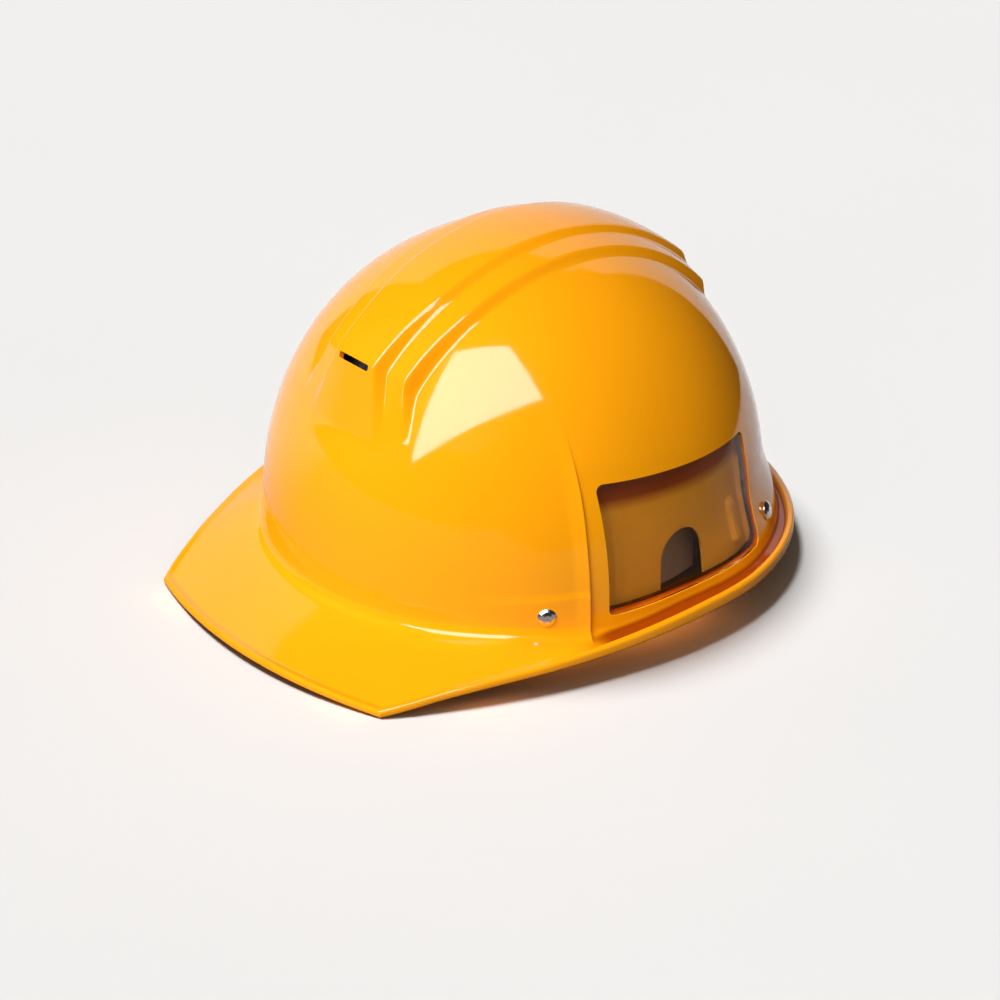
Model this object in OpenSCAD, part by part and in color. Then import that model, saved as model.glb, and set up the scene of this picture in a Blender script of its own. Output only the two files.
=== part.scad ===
// Safety helmet: a ridged shell with a peak and rain gutter, side windows,
// a foam liner, crown straps and a headband that a rear knob tightens.
// The front is -Y, the wearer's left is +X, and +Z is up.
// The origin is the bottom centre of the bounding box.

/* [Shell] */
// Width of the dome at its widest line
dome_w = 206; // [200:1:212]
// Reach of the dome ahead of its centre
dome_front = 107.6; // [105:0.1:111]
// Reach of the dome behind its centre
dome_rear = 114; // [112:0.1:118]
// Height of the dome above its widest line
dome_h = 122.8; // [119:0.1:127]
// Height of the widest line above the table
dome_base = 24.6; // [23.6:0.1:26]
// Squareness of the side view, where 2 is an ellipse
dome_power = 2.11; // [2.05:0.01:2.18]
// Thickness of the moulded wall
wall_t = 3; // [2.6:0.1:3.3]
// Spread of the lower rear wall at the widest line
skirt_flare = 4; // [3:0.1:5]
// Height at which the lower rear wall starts to spread
skirt_top = 42; // [38:1:46]

/* [Ridge] */
// Rise of the ridge above the crown
ridge_rise = 4.8; // [4:0.1:5.6]
// Share of the rise that the lower step has
step_share = 0.55; // [0.45:0.01:0.65]
// Angle of the front crease in the side view
crease_angle = 48.3; // [46:0.1:51]
// Lean of the ridge's front face from upright
face_lean = 15.75; // [14.5:0.05:17]
// Angle at which the ridge stops at the rear
ridge_end = 133.2; // [130:0.1:136]
// Half width of the flat top of the ridge at the crown
ridge_top_half = 14; // [12:0.5:16]
// Half width of the flat top at the front crease
ridge_crease_half = 11; // [9:0.5:13]
// Width of the slope from the flat top to the step
upper_slope_w = 4.5; // [3:0.5:6]
// Width of the step
step_w = 7; // [5:0.5:9]
// Width of the slope from the step to the dome
lower_slope_w = 3.5; // [2.5:0.5:5]
// Spread of the ridge's edges below the crease
ridge_flare = 11; // [8:1:13]
// Length of the vent slit in the crease
vent_w = 18; // [14:1:21]
// Height of the vent slit
vent_h = 2.6; // [2:0.1:3.2]

/* [Brim and peak] */
// Half width of the peak at its corners
peak_half = 71; // [68:0.5:74]
// Distance of the peak's corners ahead of the dome's centre
peak_reach = 133.4; // [130:0.1:137]
// Bulge of the front edge between the corners
peak_bulge = 13.6; // [11:0.1:16]
// Arch of the front edge above the table
peak_arch = 2.4; // [1:0.1:4]
// Half width of the brim at the side
brim_half = 114.4; // [112:0.1:117]
// Distance of the brim's rear edge behind the dome's centre
brim_reach = 132.8; // [130:0.1:136]
// Height of the brim's underside at the side
brim_rise = 11.5; // [10:0.1:12.5]
// Height of the gutter's lip at the side
lip_top = 17; // [16:0.1:18]
// Height of the peak's upper face where it meets the wall
peak_foot = 16; // [15:0.1:17.5]
// Depth of the gutter below its lip
gutter_depth = 3; // [2.4:0.1:3.4]

/* [Side windows] */
// Front edge of the window, ahead of the dome's centre
window_front = 30.5; // [27:0.5:33]
// Rear edge of the window, behind the dome's centre
window_rear = 56; // [52:0.5:58]
// Height of the window's lower edge
window_low = 19; // [18.5:0.1:21]
// Height of the window's upper front corner
window_high = 74; // [70:0.5:76]
// Drop of the window's upper edge towards the rear
window_drop = 5.5; // [3:0.5:8]
// Corner radius of the window
window_r = 3; // [2:0.5:5]
// Distance of the bead ahead of the dome's centre
bead_front = 42; // [41:0.5:44]
// Width of the bead at its top
bead_w = 2.6; // [2:0.1:3.4]
// Height of the bead over the dome
bead_h = 1.4; // [0.8:0.1:2]
// Depth of the side panel behind the bead
panel_recess = 3.6; // [2.8:0.1:4.2]
// Thickness of the clear lens
lens_t = 1.5; // [1.2:0.1:1.8]
// Thickness of the card tray's plate
tray_t = 1.4; // [1.2:0.1:1.6]
// Depth of the space for a card
card_gap = 2.2; // [1.8:0.1:2.6]
// Overlap of lens and tray behind the window's edge
lens_lap = 2.2; // [2:0.1:2.4]
// Width of the thumb notch in the card tray
notch_w = 22; // [18:1:26]
// Height of the thumb notch's top above the table
notch_top = 39; // [35:1:43]

/* [Suspension] */
// Half width of the headband inside
band_half = 77; // [75:0.5:78.5]
// Reach of the headband's inside ahead of the dome's centre
brow_reach = 98; // [95:0.5:99]
// Reach of the headband's inside behind the dome's centre
nape_reach = 92; // [90:0.5:93]
// Thickness of the headband
band_t = 2; // [1.8:0.1:2.2]
// Height of the headband
band_h = 28; // [28:0.1:29]
// Height of the headband's lower edge
band_z = 8; // [7.5:0.1:8.5]
// Thickness of the sweatband
sweat_t = 3; // [2:0.1:4]
// Width of the crown straps
strap_w = 20; // [16:1:22]
// Thickness of the crown straps
strap_t = 1.2; // [1:0.1:1.4]
// Height of the crown straps above the table
crown_z = 110; // [104:0.5:116]
// Lower edge of the foam liner
liner_z = 50; // [49:0.5:54]
// Thickness of the foam liner at the sides
liner_side_t = 7; // [5:0.5:8]
// Thickness of the foam liner at the crown
liner_top_t = 14; // [10:0.5:16]

/* [Ratchet] */
// Teeth of the pinion
pinion_teeth = 12; // [12]
// Module of the pinion and racks
tooth_module = 1; // [1]
// Height of the knob's axis above the table
knob_z = 17; // [16.8:0.1:18.5]
// Radius of the knob
knob_r = 14.5; // [12:0.5:15]
// Height of the knob
knob_h = 7; // [5.5:0.1:7.2]
// Thickness of the sliding arms
arm_t = 1.6; // [1.4:0.1:1.8]
// Height of the sliding arms
arm_h = 20; // [20:0.1:20.6]
// Travel of each arm when it tightens, in degrees round the head
tighten_deg = 17.5; // [14:0.5:17.5]
// Travel of each arm when it loosens, in degrees round the head
loosen_deg = 14; // [10:0.5:14]

/* [Hidden] */

// Clearance between faceted pieces that are bonded or clamped together
seat_gap = 0.3;
// Clearance between sliding pieces
slide_gap = 0.3;
// Radial clearance of a shank or shaft in its hole
fit_gap = 0.05;

// Place of the dome's centre in the part's frame
dome_y = (peak_reach + peak_bulge - brim_reach) / 2;
half_w = dome_w / 2;
lens_seat = 0.6;
ridge_r = dome_h + ridge_rise;
face_d = ridge_r * cos(crease_angle - face_lean);
face_foot = crease_angle - 28.3;
ridge_foot = ridge_end + 4;
corner_turn = atan2(peak_half, peak_reach);
corner_col = atan(dome_front * tan(corner_turn) / half_w);

// Centre of the headband's rear arc behind the dome's centre, and its distance to the front
band_back = nape_reach - band_half;
band_front = brow_reach + band_back;

module placed() { translate([0, dome_y, 0]) children(); }
module mirrored(side) { scale([side, 1, 1]) children(); }

// Blend from 0 to 1 while t runs from a to b
function blend(a, b, t) = let (u = min(1, max(0, (t - a) / (b - a)))) u * u * (3 - 2 * u);
function mix(a, b, t) = a + (b - a) * t;

// Distance of the plain dome from its centre line, at an angle of the side view
function dome_w_at(ps) =
    let (back = cos(ps) > 0 ? dome_front : dome_rear)
    pow(pow(abs(cos(ps)) / back, dome_power) + pow(abs(sin(ps)) / dome_h, dome_power),
        -1 / dome_power);

// Height of the ridge over the dome at an angle of the side view
function ridge_at(ps) =
    ps < face_foot || ps > ridge_end + 0.01 ? 0
    : let (face = ps < crease_angle ? face_d / cos(ps - face_lean) : ridge_r)
      max(0, min(ridge_r, face) - dome_w_at(ps));

// Half width of the ridge's flat top, and the steps beside it
function ridge_half(ps) =
    mix(ridge_crease_half, ridge_top_half, blend(crease_angle, crease_angle + 28, ps));
function ridge_spread(ps) =
    ridge_flare * sin(90 * min(1, max(0, crease_angle - ps) / 25));
ridge_steps = [0, 0, upper_slope_w, upper_slope_w + step_w,
               upper_slope_w + step_w + lower_slope_w];
ridge_share = [1, 1, step_share, step_share, 0];

// Columns of the shell's grid across half the dome: the ridge's steps, two up to the
// peak's corner, six up to the bead, four on the bead and the rest to the side
bead_col = 12;
panel_col = bead_col + 3;
half_cols = panel_col + 6;
cols = 2 * half_cols;
bead_lines = [bead_front + bead_w + 2.6, bead_front + bead_w, bead_front + 0.4, bead_front];
bead_split = 57;
function even_angle(i) = mix(corner_col, 90, (i - 6) / (half_cols - 6));
function bead_angle(k, ps) =
    let (q = min(ps, bead_split))
    acos(min(1, bead_lines[k] / (dome_w_at(q) * cos(q))));
function side_angle(i, ps) =
    i < bead_col ? mix(corner_col, bead_angle(0, ps), (i - 6) / (bead_col - 6))
    : i <= panel_col ? bead_angle(i - bead_col, ps)
    : mix(bead_angle(3, ps), 90, (i - panel_col) / (half_cols - panel_col));
function col_angle(i, ps) =
    i == 0 ? 0
    : i < 5 ? asin((ridge_half(ps) + ridge_spread(ps) + ridge_steps[i]) / half_w)
    : i < 7 ? mix(col_angle(4, ps), corner_col, (i - 4) / 2)
    : mix(side_angle(i, ps), even_angle(i), blend(bead_split, bead_split + 30, ps));

// Rows of the shell's grid from the front rim over the crown to the rear rim
function spread(a, b, n) = [for (k = [0 : n - 1]) mix(a, b, k / n)];
row_angles = concat(
    spread(0, face_foot, 3), spread(face_foot, crease_angle, 4),
    spread(crease_angle, ridge_end, 12), spread(ridge_end, ridge_foot, 1),
    spread(ridge_foot, 180, 6), [180]);
rows = len(row_angles) - 1;

// Turn of a plan point about the dome's centre, 0 at the front, 180 at the rear
function turn(p) = atan2(abs(p.x), -p.y);

// Outward spread of the lower wall at a turn and a height
function flare_at(a, z) =
    let (u = max(0, (skirt_top - z) / (skirt_top - dome_base)))
    skirt_flare * blend(88, 120, a) * (u > 1 ? u : pow(u, 1.6));
function flared(p) =
    let (f = 1 + flare_at(turn(p), p.z) / max(1, norm([p.x, p.y])))
    [p.x * f, p.y * f, p.z];

// Depth of the side panel below the dome, zero above its upper edge
panel_top = window_high + 13.5;
panel_rear = window_rear - 6;
function recess_at(p) =
    panel_recess * min(1, max(0, (panel_rear - p.y) / (panel_rear + bead_front)))
    * blend(0, 10, panel_top - 0.14 * (p.y + bead_front) - p.z);
bead_fade = [window_high - 4, window_high + 31];
function bead_at(z) = bead_h * (1 - blend(bead_fade[0], bead_fade[1], z));

// A point of the dome's outer face, or of its inner face when t is the wall, at column i
// of -half_cols to half_cols. The bead and the panel's recess move it sideways.
function plain_point(i, ps, t) =
    let (
        k = abs(i),
        a = col_angle(k, ps),
        h = k < 5 ? ridge_at(ps) * ridge_share[k] : 0,
        w = (dome_w_at(ps) - t + h) * cos(a)
    ) flared([(half_w - t) * sin(a) * sign(i), -w * cos(ps), dome_base + w * sin(ps)]);
function dome_point(i, ps, t) =
    let (
        p = plain_point(i, ps, t),
        k = abs(i),
        on_bead = t == 0 && k > bead_col && k < panel_col && ps < 90,
        in_panel = k >= (t == 0 ? panel_col : bead_col + 1),
        shift = on_bead ? bead_at(p.z) : in_panel ? -recess_at(p) : 0
    ) [p.x + sign(i) * shift, p.y, p.z];

// Edge of the brim from the peak's corner to the rear: place, underside and lip height
lip_h = lip_top - brim_rise;
edge_knots = [
    [peak_half, -peak_reach, 0, 3.6],
    [0.741 * brim_half, -0.801 * peak_reach, 0.42 * brim_rise, 0.42 * brim_rise + 3.6],
    [0.851 * brim_half, -0.581 * peak_reach, 0.65 * brim_rise, 0.65 * brim_rise + 3.8],
    [0.952 * brim_half, -0.295 * peak_reach, 0.83 * brim_rise, 0.83 * brim_rise + 4.8],
    [brim_half, 1.5, brim_rise, lip_top],
    [0.967 * brim_half, 0.3125 * brim_reach, 0.98 * brim_rise, 0.98 * brim_rise + lip_h],
    [0.813 * brim_half, 0.59 * brim_reach, 0.91 * brim_rise, 0.91 * brim_rise + lip_h],
    [0.446 * brim_half, 0.857 * brim_reach, 0.55 * brim_rise, 0.55 * brim_rise + lip_h],
    [0.2 * brim_half, 0.97 * brim_reach, 0, lip_h + 0.5],
    [0, brim_reach, 0, lip_h + 0.5]
];
edge_last = len(edge_knots) - 1;
// Each knot as its turn, its distance, its underside and its lip height
polar_knots = [for (k = edge_knots) [turn(k), norm([k.x, k.y]), k[2], k[3]]];
function knot(i) = let (k = polar_knots[min(edge_last, max(0, i))])
    i > edge_last ? concat([360 - polar_knots[2 * edge_last - i][0]],
                           [for (j = [1 : 3]) polar_knots[2 * edge_last - i][j]])
    : i < 0 ? [for (j = [0 : 3]) 2 * k[j] - polar_knots[1][j]] : k;
function span_of(a, i = 0) = i >= edge_last - 1 || a <= knot(i + 1)[0] ? i : span_of(a, i + 1);
function slope(i, j) = (knot(i + 1)[j] - knot(i - 1)[j]) / (knot(i + 1)[0] - knot(i - 1)[0]);
function edge_value(a, j) =
    let (
        i = span_of(a),
        d = knot(i + 1)[0] - knot(i)[0],
        u = (a - knot(i)[0]) / d,
        v = 1 - u
    )
    knot(i)[j] * (1 + 2 * u) * v * v + knot(i + 1)[j] * u * u * (1 + 2 * v)
    + d * u * v * (v * slope(i, j) - u * slope(i + 1, j));

// The front edge bows between the corners: its distance at a turn
function front_reach(a) =
    let (
        full = peak_reach + peak_bulge,
        q = peak_bulge * pow(tan(a) / peak_half, 2)
    )
    (q < 0.00001 ? full : (sqrt(1 + 4 * q * full) - 1) / (2 * q)) / cos(a);
function edge_reach(a) = a < corner_turn ? front_reach(a) : edge_value(a, 1);
function edge_low(a) =
    a < corner_turn
    ? peak_arch * (1 - pow(front_reach(a) * sin(a) / peak_half, 2))
    : max(0, edge_value(a, 2));
function edge_lip(a) = a < corner_turn ? edge_low(a) + 3.4 : edge_value(a, 3);

// The brim's section in rings from the outer wall round the edge to the inner wall.
// Each ring has its share of the way to the edge, its step out from the wall,
// its step in from the edge and its height.
function brim_rings(a) =
    let (
        g = blend(60, 74, a),
        low = edge_low(a),
        lip = edge_lip(a),
        floor_z = lip - mix(0.5, gutter_depth, g),
        foot = mix(peak_foot, floor_z, blend(45, 70, a)),
        wall_s = flare_at(a, foot + 2.5) - flare_at(a, dome_base),
        near_s = wall_s + mix(6, 1.4, g),
        near_z = foot - mix(0.3, 0, g),
        far_s = mix(4, 4.1, g),
        under_z = max(low + 0.4, near_z - wall_t)
    )
    [
        [0, wall_s + 0.1, 0, foot + mix(5, 2.5, g)],
        [0, wall_s + mix(1.4, 0.4, g), 0, foot + mix(2, 0.9, g)],
        [0, wall_s + mix(3.4, 0.9, g), 0, foot + mix(0.6, 0.2, g)],
        [0, near_s, 0, near_z],
        [0.35, near_s, far_s, mix(near_z, floor_z, 0.35)],
        [0.7, near_s, far_s, mix(near_z, floor_z, 0.7)],
        [1, 0, far_s, floor_z],
        [1, 0, mix(2.6, 3, g), lip - mix(0.3, 0.5, g)],
        [1, 0, mix(1.9, 2.4, g), lip],
        [1, 0, 0.8, lip],
        [1, 0, 0, lip - 0.9],
        [1, 0, 0, low + 0.7],
        [1, 0, 0.6, low],
        [1, 0, 2.6, low],
        [1, 0, 3.2, low + 0.4],
        [0.6, near_s, far_s, max(low + 0.4, mix(near_z, floor_z, 0.6) - wall_t)],
        [0, near_s, 0, under_z],
        [0, wall_s - 0.6, 0, under_z + 1.3],
        [0, wall_s, 0, foot + 1.4]
    ];
ring_count = len(brim_rings(0));

// The rim runs round the front row and back along the rear row of the grid
loop = 2 * cols;
function rim_col(j) = j <= cols ? j - half_cols : 3 * half_cols - j;
function rim_row(j) = j <= cols ? 0 : 180;
function ring_point(j, k) =
    let (
        q = plain_point(rim_col(j), rim_row(j), 0),
        p = dome_point(rim_col(j), rim_row(j), k == ring_count - 1 ? wall_t : 0),
        a = turn(q),
        ring = brim_rings(a)[k],
        near = 1 + ring[1] / norm([p.x, p.y]),
        far = (edge_reach(a) - ring[2]) / norm([q.x, q.y])
    )
    [mix(p.x * near, q.x * far, ring[0]), mix(p.y * near, q.y * far, ring[0]), ring[3]];

// Flat faces of a grid cell, as two triangles
function cell(a, b, c, d) = [[a, b, c], [a, c, d]];
function flat(list) = [for (part = list) for (item = part) item];

module shell_body() {
    n = cols + 1;
    outer = [for (ps = row_angles) for (i = [-half_cols : half_cols]) dome_point(i, ps, 0)];
    inner = [for (ps = row_angles) for (i = [-half_cols : half_cols]) dome_point(i, ps, wall_t)];
    rings = [for (k = [0 : ring_count - 1]) for (j = [0 : loop - 1]) ring_point(j, k)];
    base_in = len(outer);
    base_ring = base_in + len(inner);
    // Index of a rim point on the outer or inner grid
    function rim(j, base) =
        let (q = j % loop)
        base + (q <= cols ? q : rows * n + loop - q);
    function ring(k, j) =
        k < 0 ? rim(j, 0)
        : k == ring_count ? rim(j, base_in)
        : base_ring + k * loop + j % loop;
    skin = flat([for (r = [0 : rows - 1]) for (c = [0 : cols - 1])
        c == 0 ? [[r * n + c, r * n + c + 1, (r + 1) * n + c + 1]]
        : c == cols - 1 ? [[r * n + c, r * n + c + 1, (r + 1) * n + c]]
        : cell(r * n + c, r * n + c + 1, (r + 1) * n + c + 1, (r + 1) * n + c)]);
    lining = [for (f = skin) [f[0] + base_in, f[2] + base_in, f[1] + base_in]];
    brim = flat([for (k = [-1 : ring_count - 1]) for (j = [0 : loop - 1])
        cell(ring(k, j), ring(k + 1, j), ring(k + 1, j + 1), ring(k, j + 1))]);
    points = concat(outer, inner, rings);
    polyhedron(points, [for (f = concat(skin, lining, brim)) [f[2], f[1], f[0]]]);
}

// Rounded outline of the window in the plan of depth and height, grown by g
function arc_points(c, r, a0, a1) =
    [for (k = [0 : 4]) let (a = mix(a0, a1, k / 4)) c + r * [cos(a), sin(a)]];
function window_outline(g) =
    let (
        r = window_r + g,
        y0 = -window_front - g, y1 = window_rear + g,
        z0 = window_low - g, za = window_high + g, zb = window_high - window_drop + g
    )
    concat(
        arc_points([y0 + r, z0 + r], r, 180, 270),
        arc_points([y1 - r, z0 + r], r, 270, 360),
        arc_points([y1 - r, zb - r], r, 0, 90),
        arc_points([y0 + r, za - r], r, 90, 180));

module window_cut() {
    translate([40, 0, 0]) rotate([90, 0, 90]) linear_extrude(90) polygon(window_outline(0));
}

// Places of the rivets: column angle on the rim and height
rivet_front_col = 57.5;
rivet_rear_col = 54.5;
rivet_front_z = 24.2;
rivet_rear_z = 26;
function rivet_z(rear) = rear ? rivet_rear_z : rivet_front_z;
function rivet_spot(rear) =
    let (a = rear ? rivet_rear_col : rivet_front_col, back = rear ? dome_rear : -dome_front)
    flared([half_w * sin(a), back * cos(a), rivet_z(rear)]);
// Heading of the wall's outward normal in plan at a rivet, and its tilt upwards
function rivet_turn(rear) =
    rear ? atan2(cos(rivet_rear_col) / dome_rear, sin(rivet_rear_col) / half_w)
    : -atan2(cos(rivet_front_col) / dome_front, sin(rivet_front_col) / half_w);
function rivet_tilt(rear) =
    let (a = turn(rivet_spot(rear)), z = rivet_z(rear), span = rivet_head_r + 1)
    atan((flare_at(a, z - span) - flare_at(a, z + span)) / (2 * span));

// Children stand with +X along the wall's outward normal at one rivet
module at_rivet(side, rear) {
    mirrored(side) translate(rivet_spot(rear)) rotate([0, -rivet_tilt(rear), rivet_turn(rear)])
        children();
}
module along_x(x0, x1, r) {
    translate([x0, 0, 0]) rotate([0, 90, 0]) cylinder(h = x1 - x0, r = r, $fn = 48);
}

rivet_r = 2.4;
rivet_head_r = 4.2;
rivet_head_h = 2;
hanger_t = 2.4;
washer_t = 1;
// Stations along a rivet, measured inward from the outer wall
hanger_out = wall_t + 1;
head_seat = 0.4;
hanger_in = hanger_out + hanger_t;

module shell() {
    color("gold") placed() difference() {
        shell_body();
        for (side = [-1, 1]) mirrored(side) window_cut();
        for (side = [-1, 1], rear = [false, true])
            at_rivet(side, rear) along_x(-20, 20, rivet_r + fit_gap);
        vent_slit();
    }
}

// The vent lies across the ridge just under the front crease
module vent_slit() {
    a = crease_angle - 2.2;
    w = face_d / cos(a - face_lean);
    translate([0, -w * cos(a), dome_base + w * sin(a)]) rotate([-38, 0, 0])
        cube([vent_w, 30, vent_h], center = true);
}

// Plate that follows the side panel between two depths, over the window's area
function panel_x(y, z, depth) =
    let (
        up = max(0, z - dome_base),
        ps = atan2(up, -y),
        share = norm([y, up]) / (dome_w_at(ps) - depth),
        x = (half_w - depth) * sqrt(max(0, 1 - share * share)),
        normal = [x / pow(half_w, 2), y / pow(dome_rear, 2)]
    )
    x + flare_at(turn([x, y]), z) * norm(normal) / normal.x - recess_at([x, y, z]);

module panel_plate(d0, d1, lap) {
    ny = 16;
    nz = 9;
    y0 = -window_front - lap;
    y1 = window_rear + lap;
    z0 = window_low - lap;
    function point(i, k, d) =
        let (
            y = mix(y0, y1, i / ny),
            top = window_high + lap - window_drop * (y + window_front) / (window_front + window_rear),
            z = mix(z0, top, k / nz)
        ) [panel_x(y, z, d), y, z];
    n = nz + 1;
    count = (ny + 1) * n;
    points = concat(
        [for (i = [0 : ny]) for (k = [0 : nz]) point(i, k, d0)],
        [for (i = [0 : ny]) for (k = [0 : nz]) point(i, k, d1)]);
    face = flat([for (i = [0 : ny - 1]) for (k = [0 : nz - 1])
        cell(i * n + k, i * n + k + 1, (i + 1) * n + k + 1, (i + 1) * n + k)]);
    back = [for (f = face) [f[0] + count, f[2] + count, f[1] + count]];
    border = concat(
        [for (i = [0 : ny - 1]) i * n],
        [for (k = [0 : nz - 1]) ny * n + k],
        [for (i = [0 : ny - 1]) (ny - i) * n + nz],
        [for (k = [0 : nz - 1]) nz - k]);
    m = len(border);
    rim = flat([for (q = [0 : m - 1])
        cell(border[q], border[(q + 1) % m], border[(q + 1) % m] + count, border[q] + count)]);
    polyhedron(points, concat(face, back, rim));
}

lens_out = wall_t + lens_seat;
lens_in = lens_out + lens_t;
tray_out = lens_in + seat_gap;
tray_in = tray_out + card_gap + tray_t;

module window_lens(side) {
    color([0.62, 0.42, 0.2, 0.45]) placed() mirrored(side) panel_plate(lens_out, lens_in, lens_lap);
}

// The tray is a shallow dish whose rim holds the lens against the shell
module card_tray(side) {
    notch_y = 11;
    color("orange") placed() mirrored(side) difference() {
        panel_plate(tray_out, tray_in, lens_lap);
        intersection() {
            panel_plate(tray_out - 1, tray_out + card_gap, lens_lap);
            translate([40, 0, 0]) rotate([90, 0, 90]) linear_extrude(90)
                polygon(window_outline(0));
        }
        translate([40, notch_y, 0]) rotate([90, 0, 90]) linear_extrude(90) {
            translate([0, notch_top - notch_w / 2]) circle(r = notch_w / 2, $fn = 40);
            translate([-notch_w / 2, window_low]) square([notch_w, notch_top - notch_w / 2 - window_low]);
        }
    }
}
module window_lens_left() { window_lens(1); }
module window_lens_right() { window_lens(-1); }
module card_tray_left() { card_tray(1); }
module card_tray_right() { card_tray(-1); }

module rivet() {
    along_x(-hanger_in - washer_t - 1, head_seat, rivet_r);
    translate([head_seat, 0, 0]) rotate([0, 90, 0]) rotate_extrude($fn = 48)
        polygon([[0, 0], [rivet_head_r, 0], [rivet_head_r, 0.5], [rivet_head_r * 0.8, 1.3],
                 [rivet_head_r * 0.45, rivet_head_h - 0.15], [0, rivet_head_h]]);
    along_x(-hanger_in - washer_t - 1.6, -hanger_in - washer_t - 0.15, rivet_r + 0.7);
}
module washer() {
    difference() {
        along_x(-hanger_in - washer_t - 0.1, -hanger_in - 0.05, rivet_r + 2);
        along_x(-hanger_in - washer_t - 1, -hanger_in + 1, rivet_r + fit_gap);
    }
}
module shell_rivets() {
    color("silver") placed() for (side = [-1, 1], rear = [false, true]) at_rivet(side, rear) rivet();
}
module rivet_washers() {
    color("gray") placed() for (side = [-1, 1], rear = [false, true]) at_rivet(side, rear) washer();
}

// Lines of the headband in plan: an arc behind, half an ellipse in front
function band_point(a, g) =
    [(band_half + g) * sin(a), band_back - ((cos(a) > 0 ? band_front : band_half) + g) * cos(a)];
module band_ring(g0, g1, a0, a1, steps) {
    pts = concat(
        [for (k = [0 : steps]) band_point(mix(a0, a1, k / steps), g0)],
        [for (k = [0 : steps]) band_point(mix(a1, a0, k / steps), g1)]);
    polygon(pts);
}

// Distance in from a rivet, along the wall's normal, to the band's outer face,
// found by halving
function inside_band(p, g) =
    pow(p.x / (band_half + g), 2)
    + pow((p.y - band_back) / ((p.y < band_back ? band_front : band_half) + g), 2) < 1;
function behind_rivet(rear, d) =
    let (s = rivet_spot(rear), t = rivet_turn(rear)) [s.x - d * cos(t), s.y - d * sin(t)];
function band_reach(rear, lo = 4, hi = 40, n = 16) =
    let (mid = (lo + hi) / 2)
    n == 0 ? mid
    : inside_band(behind_rivet(rear, mid), band_t) ? band_reach(rear, lo, mid, n - 1)
    : band_reach(rear, mid, hi, n - 1);
// Where a hanger's stud meets the band: its angle on the band's line, place and heading
function stud_angle(rear) =
    let (p = behind_rivet(rear, band_reach(rear)))
    atan2(p.x / (band_half + band_t),
          (band_back - p.y) / ((rear ? band_half : band_front) + band_t));
function stud_heading(rear) =
    let (a = stud_angle(rear))
    atan2(-cos(a) / ((rear ? band_half : band_front) + band_t), sin(a) / (band_half + band_t));
function stud_spot(rear, g, along) =
    let (p = band_point(stud_angle(rear), band_t), t = stud_heading(rear))
    [p.x + g * cos(t) - along * sin(t), p.y + g * sin(t) + along * cos(t)];

stud_r = 2;
stud_z = band_z + band_h - 4;
tab_w = 8;
link_w = 7;
tab_t = 2;
plate_w = 11;
link_h = 3.4;
link_z = band_z + band_h - 2.6;
link_top = link_z + link_h;
strap_z = link_top + 2.7;
block_z = band_z + band_h + seat_gap;
block_top = strap_z + strap_t + 3.2;
block_l = 6;
// How far the bars of one hanger reach into or past each other
bite = 0.6;
shelf_t = 2;
shelf_w = 3;
// Distance of the strap's block behind the rivet
function block_set(rear) = rear ? 16 : 12;
module at_stud(side, rear, z) {
    p = stud_spot(rear, 0, 0);
    mirrored(side) translate([p.x, p.y, z]) rotate([0, 0, stud_heading(rear)]) children();
}

// Straps run from a front rivet to the opposite rear one: where they cross and their heading
cross_y = let (a = rivet_spot(false), b = rivet_spot(true)) a.y + (b.y - a.y) * a.x / (a.x + b.x);
function strap_reach(rear) = let (s = rivet_spot(rear)) norm([s.x, s.y - cross_y]);
function strap_heading(rear) = let (s = rivet_spot(rear)) atan2(s.y - cross_y, s.x);
module along_strap(side, rear, z) {
    mirrored(side) translate([0, cross_y, z]) rotate([0, 0, strap_heading(rear)]) children();
}

module hanger(side, rear) {
    root = hanger_out + hanger_t / 2 + (link_z + link_h / 2 - rivet_z(rear)) * tan(rivet_tilt(rear));
    t = rivet_turn(rear);
    start = behind_rivet(rear, root);
    out = strap_reach(rear) - block_set(rear);
    half_slot = strap_w / 2 + seat_gap;
    h = strap_heading(rear);
    block_end = [0, cross_y] + (out - bite) * [cos(h), sin(h)];
    color("dimgray") placed() difference() {
        union() {
            // Plate against the wall
            at_rivet(side, rear) translate([-hanger_in, -plate_w / 2, -8])
                cube([hanger_t, plate_w, link_top - rivet_z(rear) + 8 - bite]);
            // Link from the plate to the headband, with a tab and stud
            mirrored(side) translate([0, 0, link_z]) linear_extrude(link_h) polygon([
                start + link_w / 2 * [sin(t), -cos(t)], stud_spot(rear, seat_gap + bite, bite - tab_w / 2),
                stud_spot(rear, seat_gap + bite, tab_w / 2 - bite), start + link_w / 2 * [-sin(t), cos(t)]]);
            at_stud(side, rear, stud_z - 2.7) translate([seat_gap, -tab_w / 2, 0])
                cube([tab_t, tab_w, link_top - stud_z + 2.7 + bite]);
            at_stud(side, rear, stud_z) along_x(0.1 - band_t, seat_gap + 1, stud_r);
            // Shelf on the link, clear of the band, up to the strap's block
            mirrored(side) translate([0, 0, block_z]) linear_extrude(shelf_t) polygon([
                start + shelf_w / 2 * [sin(t), -cos(t)], block_end + link_w / 2 * [sin(h), -cos(h)],
                block_end - link_w / 2 * [sin(h), -cos(h)], start - shelf_w / 2 * [sin(t), -cos(t)]]);
            // Block that holds the strap's end
            along_strap(side, rear, block_z) translate([out - block_l, -half_slot - 2, 0])
                cube([block_l, 2 * half_slot + 4, block_top - block_z]);
        }
        at_rivet(side, rear) along_x(-20, 10, rivet_r + fit_gap);
        along_strap(side, rear, strap_z - seat_gap) translate([out - block_l - 1, -half_slot, 0])
            cube([block_l, 2 * half_slot, strap_t + 2 * seat_gap]);
    }
}
module hanger_front_left() { hanger(1, false); }
module hanger_front_right() { hanger(-1, false); }
module hanger_rear_left() { hanger(1, true); }
module hanger_rear_right() { hanger(-1, true); }

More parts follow.
